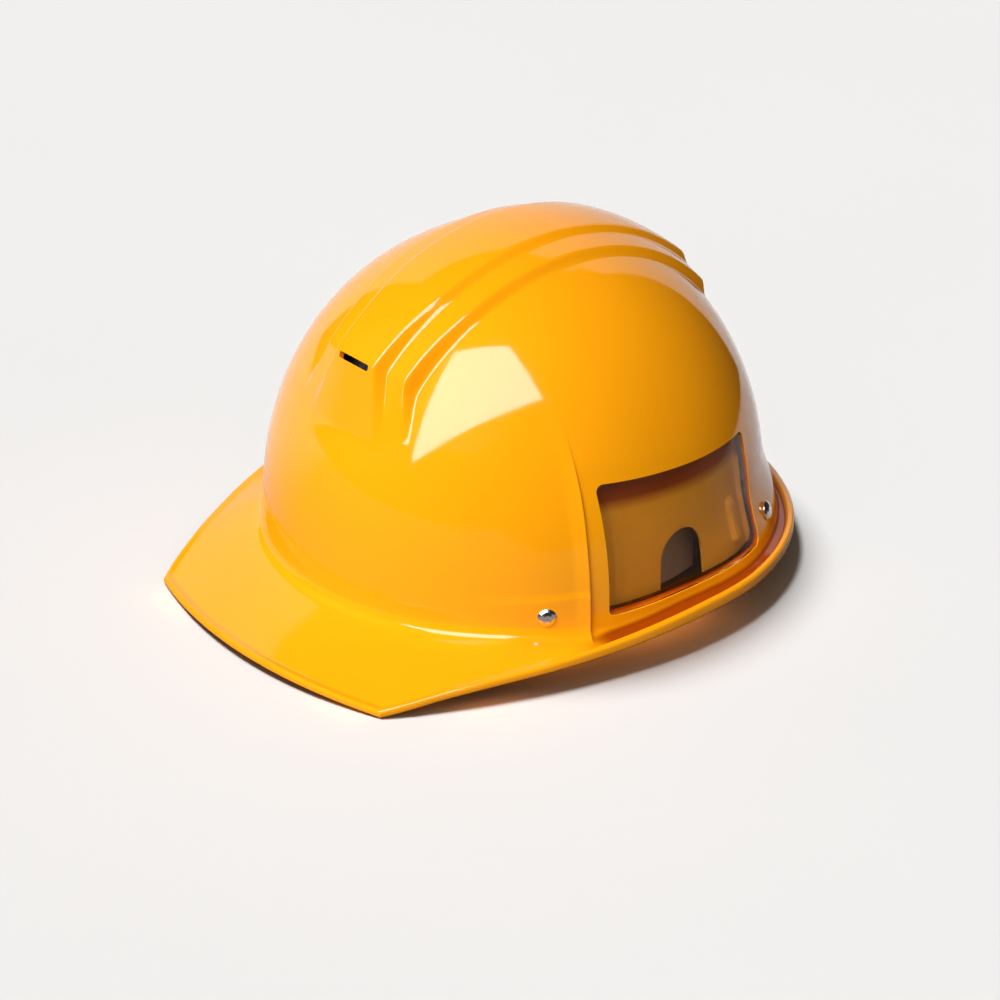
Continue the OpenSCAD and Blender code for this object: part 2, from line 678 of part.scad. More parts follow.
// Foam liner: a dome between two ovals, cut level at its lower edge
liner_gap = 0.5;
liner_half = half_w - wall_t - card_gap - tray_t - lens_t - 2 * seat_gap - panel_recess - 3.5;
function liner_point(a, f, g_side, g_end, g_top) =
    let (
        x = liner_half - g_side,
        y = (cos(a) > 0 ? dome_front : dome_rear) - wall_t - liner_gap - g_end,
        z = dome_h - wall_t - liner_gap - g_top,
        low = asin((liner_z - dome_base) / z),
        e = mix(low, 90, f)
    ) [x * cos(e) * sin(a), -y * cos(e) * cos(a), dome_base + z * sin(e)];
module impact_liner() {
    na = 40;
    ne = 9;
    function ring_of(k, g) = [for (a = [0 : na - 1])
        liner_point(a * 360 / na, k / ne, g[0], g[1], g[2])];
    outer = flat([for (k = [0 : ne - 1]) ring_of(k, [0, 0, 0])]);
    inner = flat([for (k = [0 : ne - 1]) ring_of(k, [liner_side_t, 9, liner_top_t])]);
    m = len(outer);
    tip_out = 2 * m;
    tip_in = 2 * m + 1;
    points = concat(outer, inner,
        [liner_point(0, 1, 0, 0, 0), liner_point(0, 1, liner_side_t, 9, liner_top_t)]);
    side_faces = flat([for (k = [0 : ne - 2]) for (a = [0 : na - 1])
        cell(k * na + a, (k + 1) * na + a, (k + 1) * na + (a + 1) % na, k * na + (a + 1) % na)]);
    top = (ne - 1) * na;
    cap = [for (a = [0 : na - 1]) [top + a, tip_out, top + (a + 1) % na]];
    cap_in = [for (a = [0 : na - 1]) [top + m + a, top + m + (a + 1) % na, tip_in]];
    lining = [for (f = side_faces) [f[0] + m, f[2] + m, f[1] + m]];
    lip = flat([for (a = [0 : na - 1]) cell(a, (a + 1) % na, (a + 1) % na + m, a + m)]);
    color("dimgray") placed() polyhedron(points, concat(side_faces, cap, lining, cap_in, lip));
}

// Crown straps: each lies in the upright plane through two opposite hangers
strap_half = 76;
strap_mid_z = 32;
strap_leave = 8;
strap_bow = (crown_z - strap_mid_z) * pow(strap_w / strap_half, 2) / 8;
function strap_line(front, rear, lift, g) =
    let (rise = crown_z - strap_mid_z + lift + g, wide = strap_half + lift + g)
    concat(
        [[-front, strap_z + g], [-front + block_l + 2, strap_z + g]],
        [for (k = [0 : 28]) let (e = mix(180 - strap_leave, strap_leave, k / 28))
            [wide * cos(e), strap_mid_z + rise * sin(e)]],
        [[rear - block_l - 2, strap_z + g], [rear, strap_z + g]]);
module crown_strap(side, lift) {
    front = strap_reach(false) - block_set(false) - 1.3;
    rear = strap_reach(true) - block_set(true) - 1.3;
    low = strap_line(front, rear, lift, 0);
    high = strap_line(front, rear, lift, strap_t);
    color("darkgray") placed() mirrored(side) translate([0, cross_y, 0])
        rotate([90, 0, 180 - strap_heading(true)]) translate([0, 0, -strap_w / 2])
            linear_extrude(strap_w) polygon(concat(low, [for (k = [len(high) - 1 : -1 : 0]) high[k]]));
}
module crown_strap_lower() { crown_strap(1, 0); }
module crown_strap_upper() { crown_strap(-1, strap_t + seat_gap + strap_bow); }

// Round pad under the straps, curved like them
module crown_pad() {
    pad_r = 30;
    pad_t = 3;
    rise = crown_z - strap_mid_z;
    function drop(r) = rise * (1 - sqrt(1 - pow(r / strap_half, 2))) * 1.12 + seat_gap;
    steps = [for (k = [0 : 8]) pad_r * k / 8];
    top = [for (r = steps) [r, crown_z - drop(r)]];
    under = [for (k = [8 : -1 : 0]) [steps[k], crown_z - drop(steps[k]) - pad_t]];
    color("black") placed() translate([0, cross_y, 0]) rotate_extrude($fn = 60)
        polygon(concat(top, under));
}

// Headband: stiff band round the brow and temples, with a guide for each arm
band_end = 128.5;
guide_deg = 5;
arm_in = band_t + slide_gap + 0.1;
arm_out = arm_in + arm_t;
guide_t = 1.2;
module headband() {
    color("black") placed() difference() {
        union() {
            translate([0, 0, band_z]) linear_extrude(band_h)
                band_ring(0, band_t, -band_end, band_end, 80);
            for (side = [-1, 1]) arm_guide(side);
        }
        for (side = [-1, 1], rear = [false, true])
            at_stud(side, rear, stud_z) along_x(-8, 8, stud_r + fit_gap);
    }
}
// Hooked lips over and under the sliding arm, joined outside it
module arm_guide(side) {
    a0 = band_end - guide_deg;
    low = knob_z - arm_h / 2 - slide_gap;
    high = knob_z + arm_h / 2 + slide_gap;
    edge = arm_out + slide_gap;
    mirrored(side) {
        for (z = [low - guide_t, high]) translate([0, 0, z]) linear_extrude(guide_t)
            band_ring(band_t - 0.5, edge + guide_t, a0, band_end, 4);
        translate([0, 0, low - guide_t]) linear_extrude(high - low + 2 * guide_t)
            band_ring(edge, edge + guide_t, a0, band_end, 4);
    }
}
module sweatband() {
    color("saddlebrown") placed() translate([0, 0, band_z + 1]) linear_extrude(band_h - 2)
        band_ring(-seat_gap - sweat_t, -seat_gap, -62, 62, 48);
}

// Sliding arms with racks: the left one passes over the pinion, the right one under
pitch_r = pinion_teeth * tooth_module / 2;
arc_r = band_half + (arm_in + arm_out) / 2;
pressure = 25;
backlash = 0.12;
rack_add = 0.9 * tooth_module;
rack_ded = 1.25 * tooth_module;
pitch_deg = PI * tooth_module / arc_r * 180 / PI;
bar_h = arm_h / 2 - pitch_r - rack_ded;
rack_free = 23;
arm_wide = 60;
arm_end = 75.5;
teeth_in = floor((tighten_deg + 3) / pitch_deg);
teeth_out = floor((loosen_deg + 3) / pitch_deg);
housing_deg = 24;

// Arc bar about the band's centre, from turn a0 to a1 measured from the rear
module arc_bar(r0, r1, z0, z1, a0, a1) {
    steps = max(4, ceil(abs(a1 - a0) / 3));
    pts = concat(
        [for (k = [0 : steps]) let (a = mix(a0, a1, k / steps)) [r0 * sin(a), r0 * cos(a)]],
        [for (k = [0 : steps]) let (a = mix(a1, a0, k / steps)) [r1 * sin(a), r1 * cos(a)]]);
    translate([0, band_back, z0]) linear_extrude(z1 - z0) polygon(pts);
}
module rack_tooth(a) {
    w = PI * tooth_module / 2 - 2 * backlash;
    lean = tan(pressure);
    tip = w / 2 - rack_add * lean;
    root = w / 2 + (rack_ded + 0.2) * lean;
    translate([0, band_back, knob_z]) rotate([0, 0, -a])
        translate([0, band_half + arm_out - 0.1, 0]) rotate([90, 0, 0])
            linear_extrude(arm_t - 0.2)
                polygon([[-root, pitch_r + rack_ded + 0.2], [-tip, pitch_r - rack_add],
                         [tip, pitch_r - rack_add], [root, pitch_r + rack_ded + 0.2]]);
}
// The arm is drawn with its rack above the pinion and its strap on the side +X
module arm_shape() {
    r0 = band_half + arm_in;
    r1 = band_half + arm_out;
    union() {
        arc_bar(r0, r1, knob_z + arm_h / 2 - bar_h, knob_z + arm_h / 2, -rack_free, arm_wide);
        arc_bar(r0, r1, knob_z - arm_h / 2, knob_z + arm_h / 2, arm_wide - 1, arm_end);
        for (k = [-teeth_out : teeth_in]) rack_tooth(k * pitch_deg);
    }
}
module arm_left() { color("black") placed() arm_shape(); }
module arm_right() {
    color("black") placed() translate([0, 0, 2 * knob_z]) rotate([0, 180, 0]) arm_shape();
}

// Housing behind the nape: an inner shell that holds the racks, closed by a cover
channel_h = arm_h + 2 * slide_gap;
house_in = band_half - 1.4;
pin_r = 2.5;
pinion_sag = 0.5;
house_floor = band_half + arm_in - slide_gap;
cover_in = band_half + arm_out + slide_gap;
cover_out = cover_in + 2;
house_h = channel_h + 4;
shaft_r = 3;
module radial_hole(r, r0, r1) {
    translate([0, band_back, knob_z]) rotate([-90, 0, 0]) translate([0, 0, r0])
        cylinder(h = r1 - r0, r = r, $fn = 48);
}
screw_spots = [-20.5, 20.5];
module at_screw(a) {
    translate([0, band_back, 0]) rotate([0, 0, -a]) children();
}
module ratchet_housing() {
    color("black") placed() difference() {
        union() {
            arc_bar(house_in, house_floor, knob_z - house_h / 2, knob_z + house_h / 2,
                -housing_deg, housing_deg);
            for (s = [-1, 1])
                arc_bar(house_floor - 0.5, cover_in - 0.1,
                        s < 0 ? knob_z - house_h / 2 : knob_z + channel_h / 2,
                        s < 0 ? knob_z - channel_h / 2 : knob_z + house_h / 2, -housing_deg, housing_deg);
        }
        radial_hole(pin_r + fit_gap, house_in - 5, house_floor + 1);
    }
}
module ratchet_cover() {
    color("black") placed() difference() {
        arc_bar(cover_in, cover_out, knob_z - house_h / 2, knob_z + house_h / 2, -housing_deg, housing_deg);
        radial_hole(shaft_r + fit_gap, cover_in - 2, cover_out + 2);
        for (a = screw_spots, s = [-1, 1]) at_screw(a) translate([0, cover_in - 2, knob_z + s * 5])
            rotate([-90, 0, 0]) cylinder(h = 6, r = 1.25 + fit_gap, $fn = 32);
    }
}
module ratchet_screws() {
    color("silver") placed() for (a = screw_spots, s = [-1, 1]) at_screw(a)
        translate([0, 0, knob_z + s * 5]) rotate([-90, 0, 0]) union() {
            translate([0, 0, cover_in + 0.4]) cylinder(h = cover_out - cover_in, r = 1.25, $fn = 32);
            translate([0, 0, cover_out + 0.1]) cylinder(h = 1.2, r = 2.3, $fn = 32);
        }
}

// Ring of detent notches on the cover, under the knob
detent_h = 1;
flat_y = band_back + cover_out;
module detent_ring() {
    notch_count = 24;
    color("gray") placed() translate([0, flat_y + 0.05, knob_z]) rotate([-90, 0, 0]) difference() {
        cylinder(h = detent_h, r = 10, $fn = 60);
        translate([0, 0, -1]) cylinder(h = 4, r = shaft_r + 0.6, $fn = 48);
        for (k = [0 : notch_count - 1]) rotate([0, 0, k * 360 / notch_count])
            translate([9, 0, detent_h]) rotate([45, 0, 0]) cube([4, 0.7, 0.7], center = true);
    }
}

// Involute pinion between housing and cover
function involute(t) = tan(t) * 180 / PI - t;
module pinion_outline() {
    base_r = pitch_r * cos(pressure);
    tip_r = pitch_r + rack_add;
    root_r = pitch_r - rack_ded;
    half = 90 / pinion_teeth - backlash / pitch_r * 180 / PI;
    function flank(r) = half + involute(pressure) - involute(acos(base_r / r));
    radii = [for (k = [0 : 5]) mix(base_r + 0.001, tip_r, k / 5)];
    step = 360 / pinion_teeth;
    pts = flat([for (t = [0 : pinion_teeth - 1]) let (c = t * step + step / 2) concat(
        [[root_r, c - step / 2 + 1], [root_r, c - flank(radii[0])]],
        [for (r = radii) [r, c - flank(r)]],
        [for (k = [5 : -1 : 0]) [radii[k], c + flank(radii[k])]],
        [[root_r, c + flank(radii[0])]])]);
    polygon([for (p = pts) p[0] * [cos(p[1]), sin(p[1])]]);
}
module pinion_bore() { circle(r = shaft_r, $fn = 6); }
module ratchet_pinion() {
    color("white") placed() translate([0, band_back + house_floor + 0.15, knob_z])
        rotate([-90, 0, 0]) linear_extrude(cover_in - house_floor - 0.15 - pinion_sag)
            difference() {
                pinion_outline();
                pinion_bore();
            }
}

// Knob with finger flutes, its shaft through the cover to the pinion
knob_y = flat_y + detent_h + 0.35;
hex_r = shaft_r - 0.08;
module ratchet_knob() {
    flutes = 18;
    color("black") placed() translate([0, knob_y, knob_z]) rotate([-90, 0, 0]) difference() {
        union() {
            rotate_extrude($fn = 72)
                polygon([[0, 0], [knob_r - 0.6, 0], [knob_r, 0.6], [knob_r, knob_h - 1.6],
                         [knob_r - 1.6, knob_h], [0, knob_h]]);
            translate([0, 0, band_back + cover_in - knob_y])
                cylinder(h = knob_y - band_back - cover_in + 1, r = shaft_r, $fn = 48);
            translate([0, 0, band_back + house_floor + 0.2 - knob_y])
                cylinder(h = cover_in - house_floor, r = hex_r, $fn = 6);
            translate([0, 0, band_back + house_in + 0.2 - knob_y])
                cylinder(h = house_floor - house_in + 0.1, r = pin_r, $fn = 48);
        }
        for (k = [0 : flutes - 1]) rotate([0, 0, k * 360 / flutes])
            translate([knob_r + 1.4, 0, -1]) cylinder(h = knob_h + 2, r = 2.1, $fn = 24);
        translate([0, 0, knob_h - 1.6]) cylinder(h = 3, r = 4.2, $fn = 48);
        translate([0, 0, band_back + house_in - knob_y]) cylinder(h = 40, r = 1.1, $fn = 32);
    }
}
module knob_screw() {
    color("silver") placed() translate([0, knob_y + knob_h - 1.55, knob_z]) rotate([-90, 0, 0]) difference() {
        union() {
            cylinder(h = 1.2, r = 3.6, $fn = 48);
            translate([0, 0, -10]) cylinder(h = 10.5, r = 1.05, $fn = 32);
        }
        translate([-3, -0.4, 0.6]) cube([6, 0.8, 2]);
    }
}

// Cradle: a strip round the nape that carries the housing, hung from the rear hangers
cradle_low = knob_z + house_h / 2 + seat_gap;
cradle_t = 1.4;
cradle_deg = 180 - band_end - seat_gap / band_half * 180 / PI;
module nape_cradle() {
    color("black") placed()
        arc_bar(band_half, band_half + cradle_t, cradle_low, band_z + band_h, -cradle_deg, cradle_deg);
}
module nape_pad() {
    color("saddlebrown") placed()
        arc_bar(house_in - 3.3, house_in - 0.3, knob_z - 10, knob_z + 10, -32, 32);
}

shell();
window_lens_left();
window_lens_right();
card_tray_left();
card_tray_right();
shell_rivets();
rivet_washers();
hanger_front_left();
hanger_front_right();
hanger_rear_left();
hanger_rear_right();
impact_liner();
crown_strap_lower();
crown_strap_upper();
crown_pad();
headband();
sweatband();
nape_cradle();
arm_left();
arm_right();
ratchet_housing();
ratchet_cover();
ratchet_screws();
detent_ring();
ratchet_pinion();
ratchet_knob();
knob_screw();
nape_pad();
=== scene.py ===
"""Safety helmet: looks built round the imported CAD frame. Lengths in the shape code are mm."""
import math

import bmesh
import bpy
import numpy as np
from mathutils import Matrix, Vector


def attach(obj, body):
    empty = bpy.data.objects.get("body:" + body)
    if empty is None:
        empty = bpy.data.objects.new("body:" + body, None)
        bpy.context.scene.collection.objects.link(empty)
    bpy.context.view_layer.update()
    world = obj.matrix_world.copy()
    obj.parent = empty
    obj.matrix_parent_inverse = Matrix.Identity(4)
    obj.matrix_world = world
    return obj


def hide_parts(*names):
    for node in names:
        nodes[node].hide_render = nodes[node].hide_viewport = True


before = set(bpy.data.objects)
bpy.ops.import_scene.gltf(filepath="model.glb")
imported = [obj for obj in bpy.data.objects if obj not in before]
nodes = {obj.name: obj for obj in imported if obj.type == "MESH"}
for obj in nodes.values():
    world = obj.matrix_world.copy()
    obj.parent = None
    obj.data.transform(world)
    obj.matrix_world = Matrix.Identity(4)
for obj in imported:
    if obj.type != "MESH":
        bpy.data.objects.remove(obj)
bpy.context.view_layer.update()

MM = 0.001

# The dome, whose middle lies DOME_Y behind the frame's origin, and the skirt round its foot
DOME_Y = 7.1
HALF_W = 103.0
DOME_FRONT = 107.6
DOME_REAR = 114.0
DOME_H = 122.8
DOME_BASE = 24.6
DOME_POWER = 2.11
WALL_T = 3.0
SKIRT_FLARE = 4.0
SKIRT_TOP = 42.0

# The ridge: a flat front face and a round back that meet at the crease; angles in degrees up
# from the front, widths out from the middle or, in the steps, from the edge of the flat top
RIDGE_R = 127.6
RIDGE_START = 17
CREASE = 48.3
RIDGE_END = 133.2
FACE_LEAN = 15.75
FACE_D = RIDGE_R * math.cos(math.radians(CREASE - FACE_LEAN))
FACE_SLANT = 0.12
RIDGE_HALF = (11.0, 14.0)
RIDGE_FLARE = 11.0
RIDGE_STEPS = (0, 4.8, 12.6, 16.8)
RIDGE_SIDE = 18.1
LEDGE = 0.55
FLAT_GAP = 0.55

# The peak and the gutter
PEAK_HALF = 71.0
PEAK_REACH = 133.4
PEAK_BULGE = 13.6
PEAK_ARCH = 2.4
PEAK_FOOT = 16.0
GUTTER_DEPTH = 3.0
CORNER_TURN = math.degrees(math.atan2(PEAK_HALF, PEAK_REACH))
CORNER_COL = math.degrees(math.atan(DOME_FRONT * math.tan(math.radians(CORNER_TURN)) / HALF_W))

# The bead and the side panel behind it; the outer face shows a share of the panel's recess
BEAD_SPLIT = 62.0
BEAD_LEAN = 0.07
BEAD_H = 1.2
PANEL_FRONT = -42
PANEL_REAR = 50
PANEL_TOP = 87.5
PANEL_FALL = 0.14
RECESS = 3.6
FACE_RECESS = 0.15

# Rivets: column in degrees out from the middle plane, and height
RIVETS = {"front": (57.5, 24.2), "rear": (54.5, 26.0)}
RIVET_HOLE_R = 2.45
RIVET_PAD = 0.6

# The window, whose top falls to the rear, and the depths behind the wall's face of the pane,
# its flange and the card tray
WIN_FRONT = -32.8
WIN_REAR = 56.0
WIN_LOW = 19.0
WIN_HIGH = 76.5
WIN_DROP = 8.0
WIN_CORNER = 3.4
PANE_FRONT = 0.3
PANE_EDGE = 0.5
PANE_BACK = 1.7
FLANGE_FRONT = 3.6
FLANGE_BACK = 5.1
TRAY_RIM = 5.4
TRAY_FLOOR = 7.6
TRAY_BACK = 9.0
NOTCH_W = 23.5
NOTCH_TOP = 41.5
NOTCH_FOOT = 12
CUT_X = (40, 130)

# The liner, with its thickness at the side, the ends and the crown, between and in the grooves
LINER_HALF_W = 86.6
LINER_GAP = 3.5
LINER_FOOT = 50
LINER_T = (7, 9, 14)
GROOVE_T = (4.5, 6.5, 11)

# The crown straps, each turned STRAP_TURN degrees from straight across
STRAP_Z = 39.5
STRAP_HALF = 9.9
STRAP_TURN = 36.0321
STRAP_REACH = {"front": 107.42 - 12 - 1.3, "rear": 107.086 - 16 - 1.3}
CROSS_Y = 5.375
CROWN_RISE = 78.0
ARC_HALF = 76
ARC_BASE = 32
UPPER_LIFT = 1.5 + CROWN_RISE * (20 / ARC_HALF) ** 2 / 8
PAD_R = 30

# The headband's line in plan
BAND_Y = 15
BAND_R = 77.0
BAND_FRONT = 113.0
NAPE_R = 75.3

FLOOR_HALF = 6.0


def blend(a, b, t):
    u = np.clip((t - a) / (b - a), 0, 1)
    return u * u * (3 - 2 * u)


def mix(a, b, t):
    return a + (b - a) * t


def sin(a):
    return np.sin(np.radians(a))


def cos(a):
    return np.cos(np.radians(a))


def soft_min(a, b, k):
    h = np.clip(0.5 + 0.5 * (b - a) / k, 0, 1)
    return mix(b, a, h) - k * h * (1 - h)


def rounded_steps(x, knots, values, r):
    """A line through the knots, its corners rounded over a width of 2 r."""
    return sum(np.interp(x + r * k, knots, values) for k in np.linspace(-1, 1, 7)) / 7


# Mesh helpers


def make_object(name, points, faces, body="helmet", angle=32.0):
    """A smooth-shaded object from points in mm, in the dome's frame."""
    mesh = bpy.data.meshes.new(name)
    pts = (np.asarray(points, float) + [0, DOME_Y, 0]) * MM
    mesh.from_pydata([tuple(p) for p in pts], [], faces)
    mesh.validate()
    obj = bpy.data.objects.new(name, mesh)
    bpy.context.scene.collection.objects.link(obj)
    tidy(obj, angle)
    if body:
        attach(obj, body)
    return obj


def tidy(obj, angle=32.0, merge=0.000002):
    bm = bmesh.new()
    bm.from_mesh(obj.data)
    bmesh.ops.remove_doubles(bm, verts=bm.verts, dist=merge)
    bmesh.ops.recalc_face_normals(bm, faces=bm.faces)
    bm.to_mesh(obj.data)
    bm.free()
    obj.data.polygons.foreach_set("use_smooth", [True] * len(obj.data.polygons))
    obj.data.set_sharp_from_angle(angle=math.radians(angle))


def grid_faces(rows, cols, start=0, round_cols=False, round_rows=False, flip=False):
    """Faces of a grid of points, which may close on itself across its columns and rows."""
    faces = []
    for r in range(rows if round_rows else rows - 1):
        s = (r + 1) % rows
        for c in range(cols if round_cols else cols - 1):
            d = (c + 1) % cols
            f = [start + k for k in (r * cols + c, r * cols + d, s * cols + d, s * cols + c)]
            faces.append(f[::-1] if flip else f)
    return faces


def wall_faces(edge, n):
    """Faces between a loop of points and the loop whose numbers are n higher."""
    after = np.roll(edge, -1)
    return np.stack([after, edge, edge + n, after + n], -1).tolist()


def plate_faces(rows, cols):
    """Faces of a closed plate between two grids of the same shape."""
    n = rows * cols
    g = np.arange(n).reshape(rows, cols)
    edge = np.concatenate([g[0], g[1:, -1], g[-1, -2::-1], g[-2:0:-1, 0]])
    return grid_faces(rows, cols) + grid_faces(rows, cols, n, flip=True) + wall_faces(edge, n)


def bowl_faces(rows, cols, rim):
    """Faces of two round grids of the same shape that are joined along one ring, the rim."""
    n = rows * cols
    return (grid_faces(rows, cols, round_cols=True)
            + grid_faces(rows, cols, n, round_cols=True, flip=True)
            + wall_faces(rim * cols + np.arange(cols), n))


def rod_faces(rings, count):
    """Faces of a tube of rings that is closed at both ends."""
    ends = [list(range(count)), list(range((rings - 1) * count, rings * count))[::-1]]
    return grid_faces(rings, count, round_cols=True) + ends


def drawn_out(name, near, far):
    """A closed cutter between two outlines with as many points."""
    n = len(near)
    faces = [list(range(n))[::-1], list(range(n, 2 * n))]
    faces += [[k, (k + 1) % n, n + (k + 1) % n, n + k] for k in range(n)]
    return make_object(name, [*near, *far], faces, None)


def side_cutter(name, outline, side):
    """A cutter through one side of the helmet: an outline in y and z, drawn out along x."""
    near, far = sorted(x * side for x in CUT_X)
    return drawn_out(name, [(near, y, z) for y, z in outline], [(far, y, z) for y, z in outline])


def cut(obj, *cutters):
    for c in cutters:
        mod = obj.modifiers.new("cut", "BOOLEAN")
        mod.operation = "DIFFERENCE"
        mod.solver = "EXACT"
        mod.object = c
    apply_modifiers(obj)
    for c in cutters:
        bpy.data.objects.remove(c)


def apply_modifiers(obj):
    bpy.context.view_layer.update()
    deps = bpy.context.evaluated_depsgraph_get()
    mesh = bpy.data.meshes.new_from_object(obj.evaluated_get(deps))
    obj.modifiers.clear()
    old = obj.data
    obj.data = mesh
    bpy.data.meshes.remove(old)


# The shell's surface


def dome_w_at(ps):
    """Reach of the dome in the middle plane, ps degrees up from the front."""
    back = np.where(cos(ps) > 0, DOME_FRONT, DOME_REAR)
    part = (np.abs(cos(ps)) / back) ** DOME_POWER + (np.abs(sin(ps)) / DOME_H) ** DOME_POWER
    return part ** (-1 / DOME_POWER)


def ridge_at(ps, u):
    """Rise of the ridge over the dome; its front face falls back a little to the sides."""
    d = FACE_D - FACE_SLANT * np.clip(u, 0, RIDGE_STEPS[-1])
    face = np.where(ps < 80, d / np.maximum(0.05, cos(np.minimum(ps, 80) - FACE_LEAN)), 999)
    rise = soft_min(RIDGE_R, face, 0.9) - dome_w_at(ps)
    return -soft_min(-rise, 0, 0.5) * (ps > RIDGE_START)


def ridge_edge(ps):
    """Half width of the ridge's flat top, widest at the foot of the front face."""
    half = mix(*RIDGE_HALF, blend(CREASE, CREASE + 28, ps))
    return half + RIDGE_FLARE * sin(90 * np.clip((CREASE - ps) / 25, 0, 1))


def ridge_share(u, ps):
    """Share of the rise at a distance u out from the top's edge, in two steps with a ledge."""
    one, two, three, four = RIDGE_STEPS
    side = 1 - (1 - LEDGE) * blend(one, two, u) - LEDGE * blend(three, four, u)
    end = rounded_steps(ps, [RIDGE_END, RIDGE_END + 1.5, RIDGE_END + 3.2, RIDGE_END + 4.6],
                        [1, LEDGE, LEDGE, 0], 0.35)
    return np.minimum(side, end)


def turn(x, y):
    """Heading in degrees, 0 in front and 180 behind, the same on both sides."""
    return np.degrees(np.arctan2(np.abs(x), -y))


def flare_at(a, z):
    """How far the skirt stands out from the dome: not at all in front, most low at the rear."""
    u = np.maximum(0, (SKIRT_TOP - z) / (SKIRT_TOP - DOME_BASE))
    return SKIRT_FLARE * blend(88, 120, a) * np.where(u > 1, u, u ** 1.6)


def recess_at(y, z):
    """Depth of the side panel's recess, which fades out to the rear and to its top."""
    top = PANEL_TOP - PANEL_FALL * (y - PANEL_FRONT)
    return (RECESS * np.clip((PANEL_REAR - y) / (PANEL_REAR - PANEL_FRONT), 0, 1)
            * blend(0, 10, top - z))


# Columns of the grid over half the dome, from the ridge's middle line to the side: a kind,
# a place, and the share of the way to the side at which they stand over the rear
BEAD_LINES = [48.2, 47.4, 46.6, 45.9, 45.3, 44.8, 44.3, 43.8, 43.4, 43.05, 42.8, 42.6, 42.42,
              42.28, 42.16, 42.08, 42.02, 41.94, 41.85, 41.7, 41.2]
COLUMNS = [("flat", f, 0) for f in (0, 0.25, 0.5, 0.75, 0.9)]
COLUMNS += [("step", u, 0) for u in (
    *np.linspace(-0.4, 5.2, 15), 6.5, 8.5, 10.5, *np.linspace(12.2, 17.2, 13), RIDGE_SIDE)]
COLUMNS += [("plain", f, 0) for f in np.linspace(0, 1, 10)[1:]]
COLUMNS += [("front", f, 0.4 * f) for f in np.linspace(0, 1, 25)[1:]]
COLUMNS += [("bead", y, 0.4 + 0.2 * (k + 1) / len(BEAD_LINES)) for k, y in enumerate(BEAD_LINES)]
COLUMNS += [("side", f, 0.6 + 0.4 * f) for f in np.linspace(0, 1, 25)[1:]]

# The bead's height along y; below 0 it is a share of the panel's recess
BEAD_RISE = [[-48.2, -47.0, -45.9, -43.0, -42.4, -42.02, -41.94],
             [0, 0.06, 0.3, BEAD_H, BEAD_H + 0.2, BEAD_H + 0.25, -1]]


def lean_at(ps):
    """Share by which the bead's line draws back towards its top."""
    return 1 - BEAD_LEAN * (np.minimum(ps, BEAD_SPLIT) / 57) ** 4


def line_angle(y, ps):
    """Where the line at a distance y in front of the middle crosses each row, in degrees."""
    q = np.minimum(ps, BEAD_SPLIT)
    return np.degrees(np.arccos(np.minimum(1, y * lean_at(q) / (dome_w_at(q) * cos(q)))))


def column_angle(kind, place, share, ps):
    """Where a column of the grid lies in each row, in degrees out from the middle plane."""
    if kind == "flat":
        return np.degrees(np.arcsin((ridge_edge(ps) - FLAT_GAP) * place / HALF_W))
    if kind == "step":
        return np.degrees(np.arcsin((ridge_edge(ps) + place) / HALF_W))
    if kind == "plain":
        last = np.degrees(np.arcsin((ridge_edge(ps) + RIDGE_SIDE) / HALF_W))
        return mix(last, CORNER_COL, place)
    if kind == "front":
        a = mix(CORNER_COL, line_angle(BEAD_LINES[0] + 0.6, ps), place)
    elif kind == "bead":
        a = line_angle(place, ps)
    else:
        a = mix(line_angle(BEAD_LINES[-1], ps), 90, place)
    return mix(a, mix(CORNER_COL, 90, share), blend(BEAD_SPLIT, BEAD_SPLIT + 30, ps))


def panel_step(line, y, z, ps, inner):
    """The bead's rise and the panel's recess behind it, of which the outer face has a share."""
    if inner:
        step = -blend(-47.2, -44.6, line)
        drop = recess_at(np.maximum(y, PANEL_FRONT), z)
    else:
        step = np.interp(line, *BEAD_RISE)
        drop = recess_at(np.maximum(y, PANEL_FRONT), z) * FACE_RECESS
    fade = np.where(ps < 90, 1 - blend(66, 108, z), 0)
    return np.where(step > 0, step * fade, step * drop)


def rivet_pad(y, z):
    """Rise of the pad round a front rivet, which ends at the bead."""
    return RIVET_PAD * (1 - blend(32.4, 33.4, z)) * blend(-86, -66, y) * (y < PANEL_FRONT - 0.1)


def dome_column(kind, place, share, ps, t, plain):
    """One column of the grid over all rows."""
    a = column_angle(kind, place, share, ps)
    u = HALF_W * sin(a) - ridge_edge(ps)
    h = ridge_at(ps, u) * ridge_share(u, ps) if kind in ("flat", "step", "plain") else 0
    w = (dome_w_at(ps) - t + h) * cos(a)
    x, y, z = (HALF_W - t) * sin(a), -w * cos(ps), DOME_BASE + w * sin(ps)
    line = y / lean_at(ps)
    f = 1 + flare_at(turn(x, y), z) / np.maximum(1, np.hypot(x, y))
    x, y = x * f, y * f
    if plain:
        return np.stack([x, y, z], -1)
    if kind in ("front", "bead", "side"):
        x = x + panel_step(line, y, z, ps, t > 0)
    if t == 0:
        f = 1 + rivet_pad(y, z) / HALF_W
        x, y = x * f, y * f
    return np.stack([x, y, z], -1)


def dome_grid(ps, t, plain=False):
    """Points of the outer face (t = 0) or of the face t inside it, rows by columns.

    A plain grid leaves out the bead, the side panels and the rivet pads.
    """
    ps = np.asarray(ps, float)
    right = np.stack([dome_column(*column, ps, t, plain) for column in COLUMNS], 1)
    left = right[:, :0:-1] * [-1, 1, 1]
    return np.concatenate([left, right], 1)


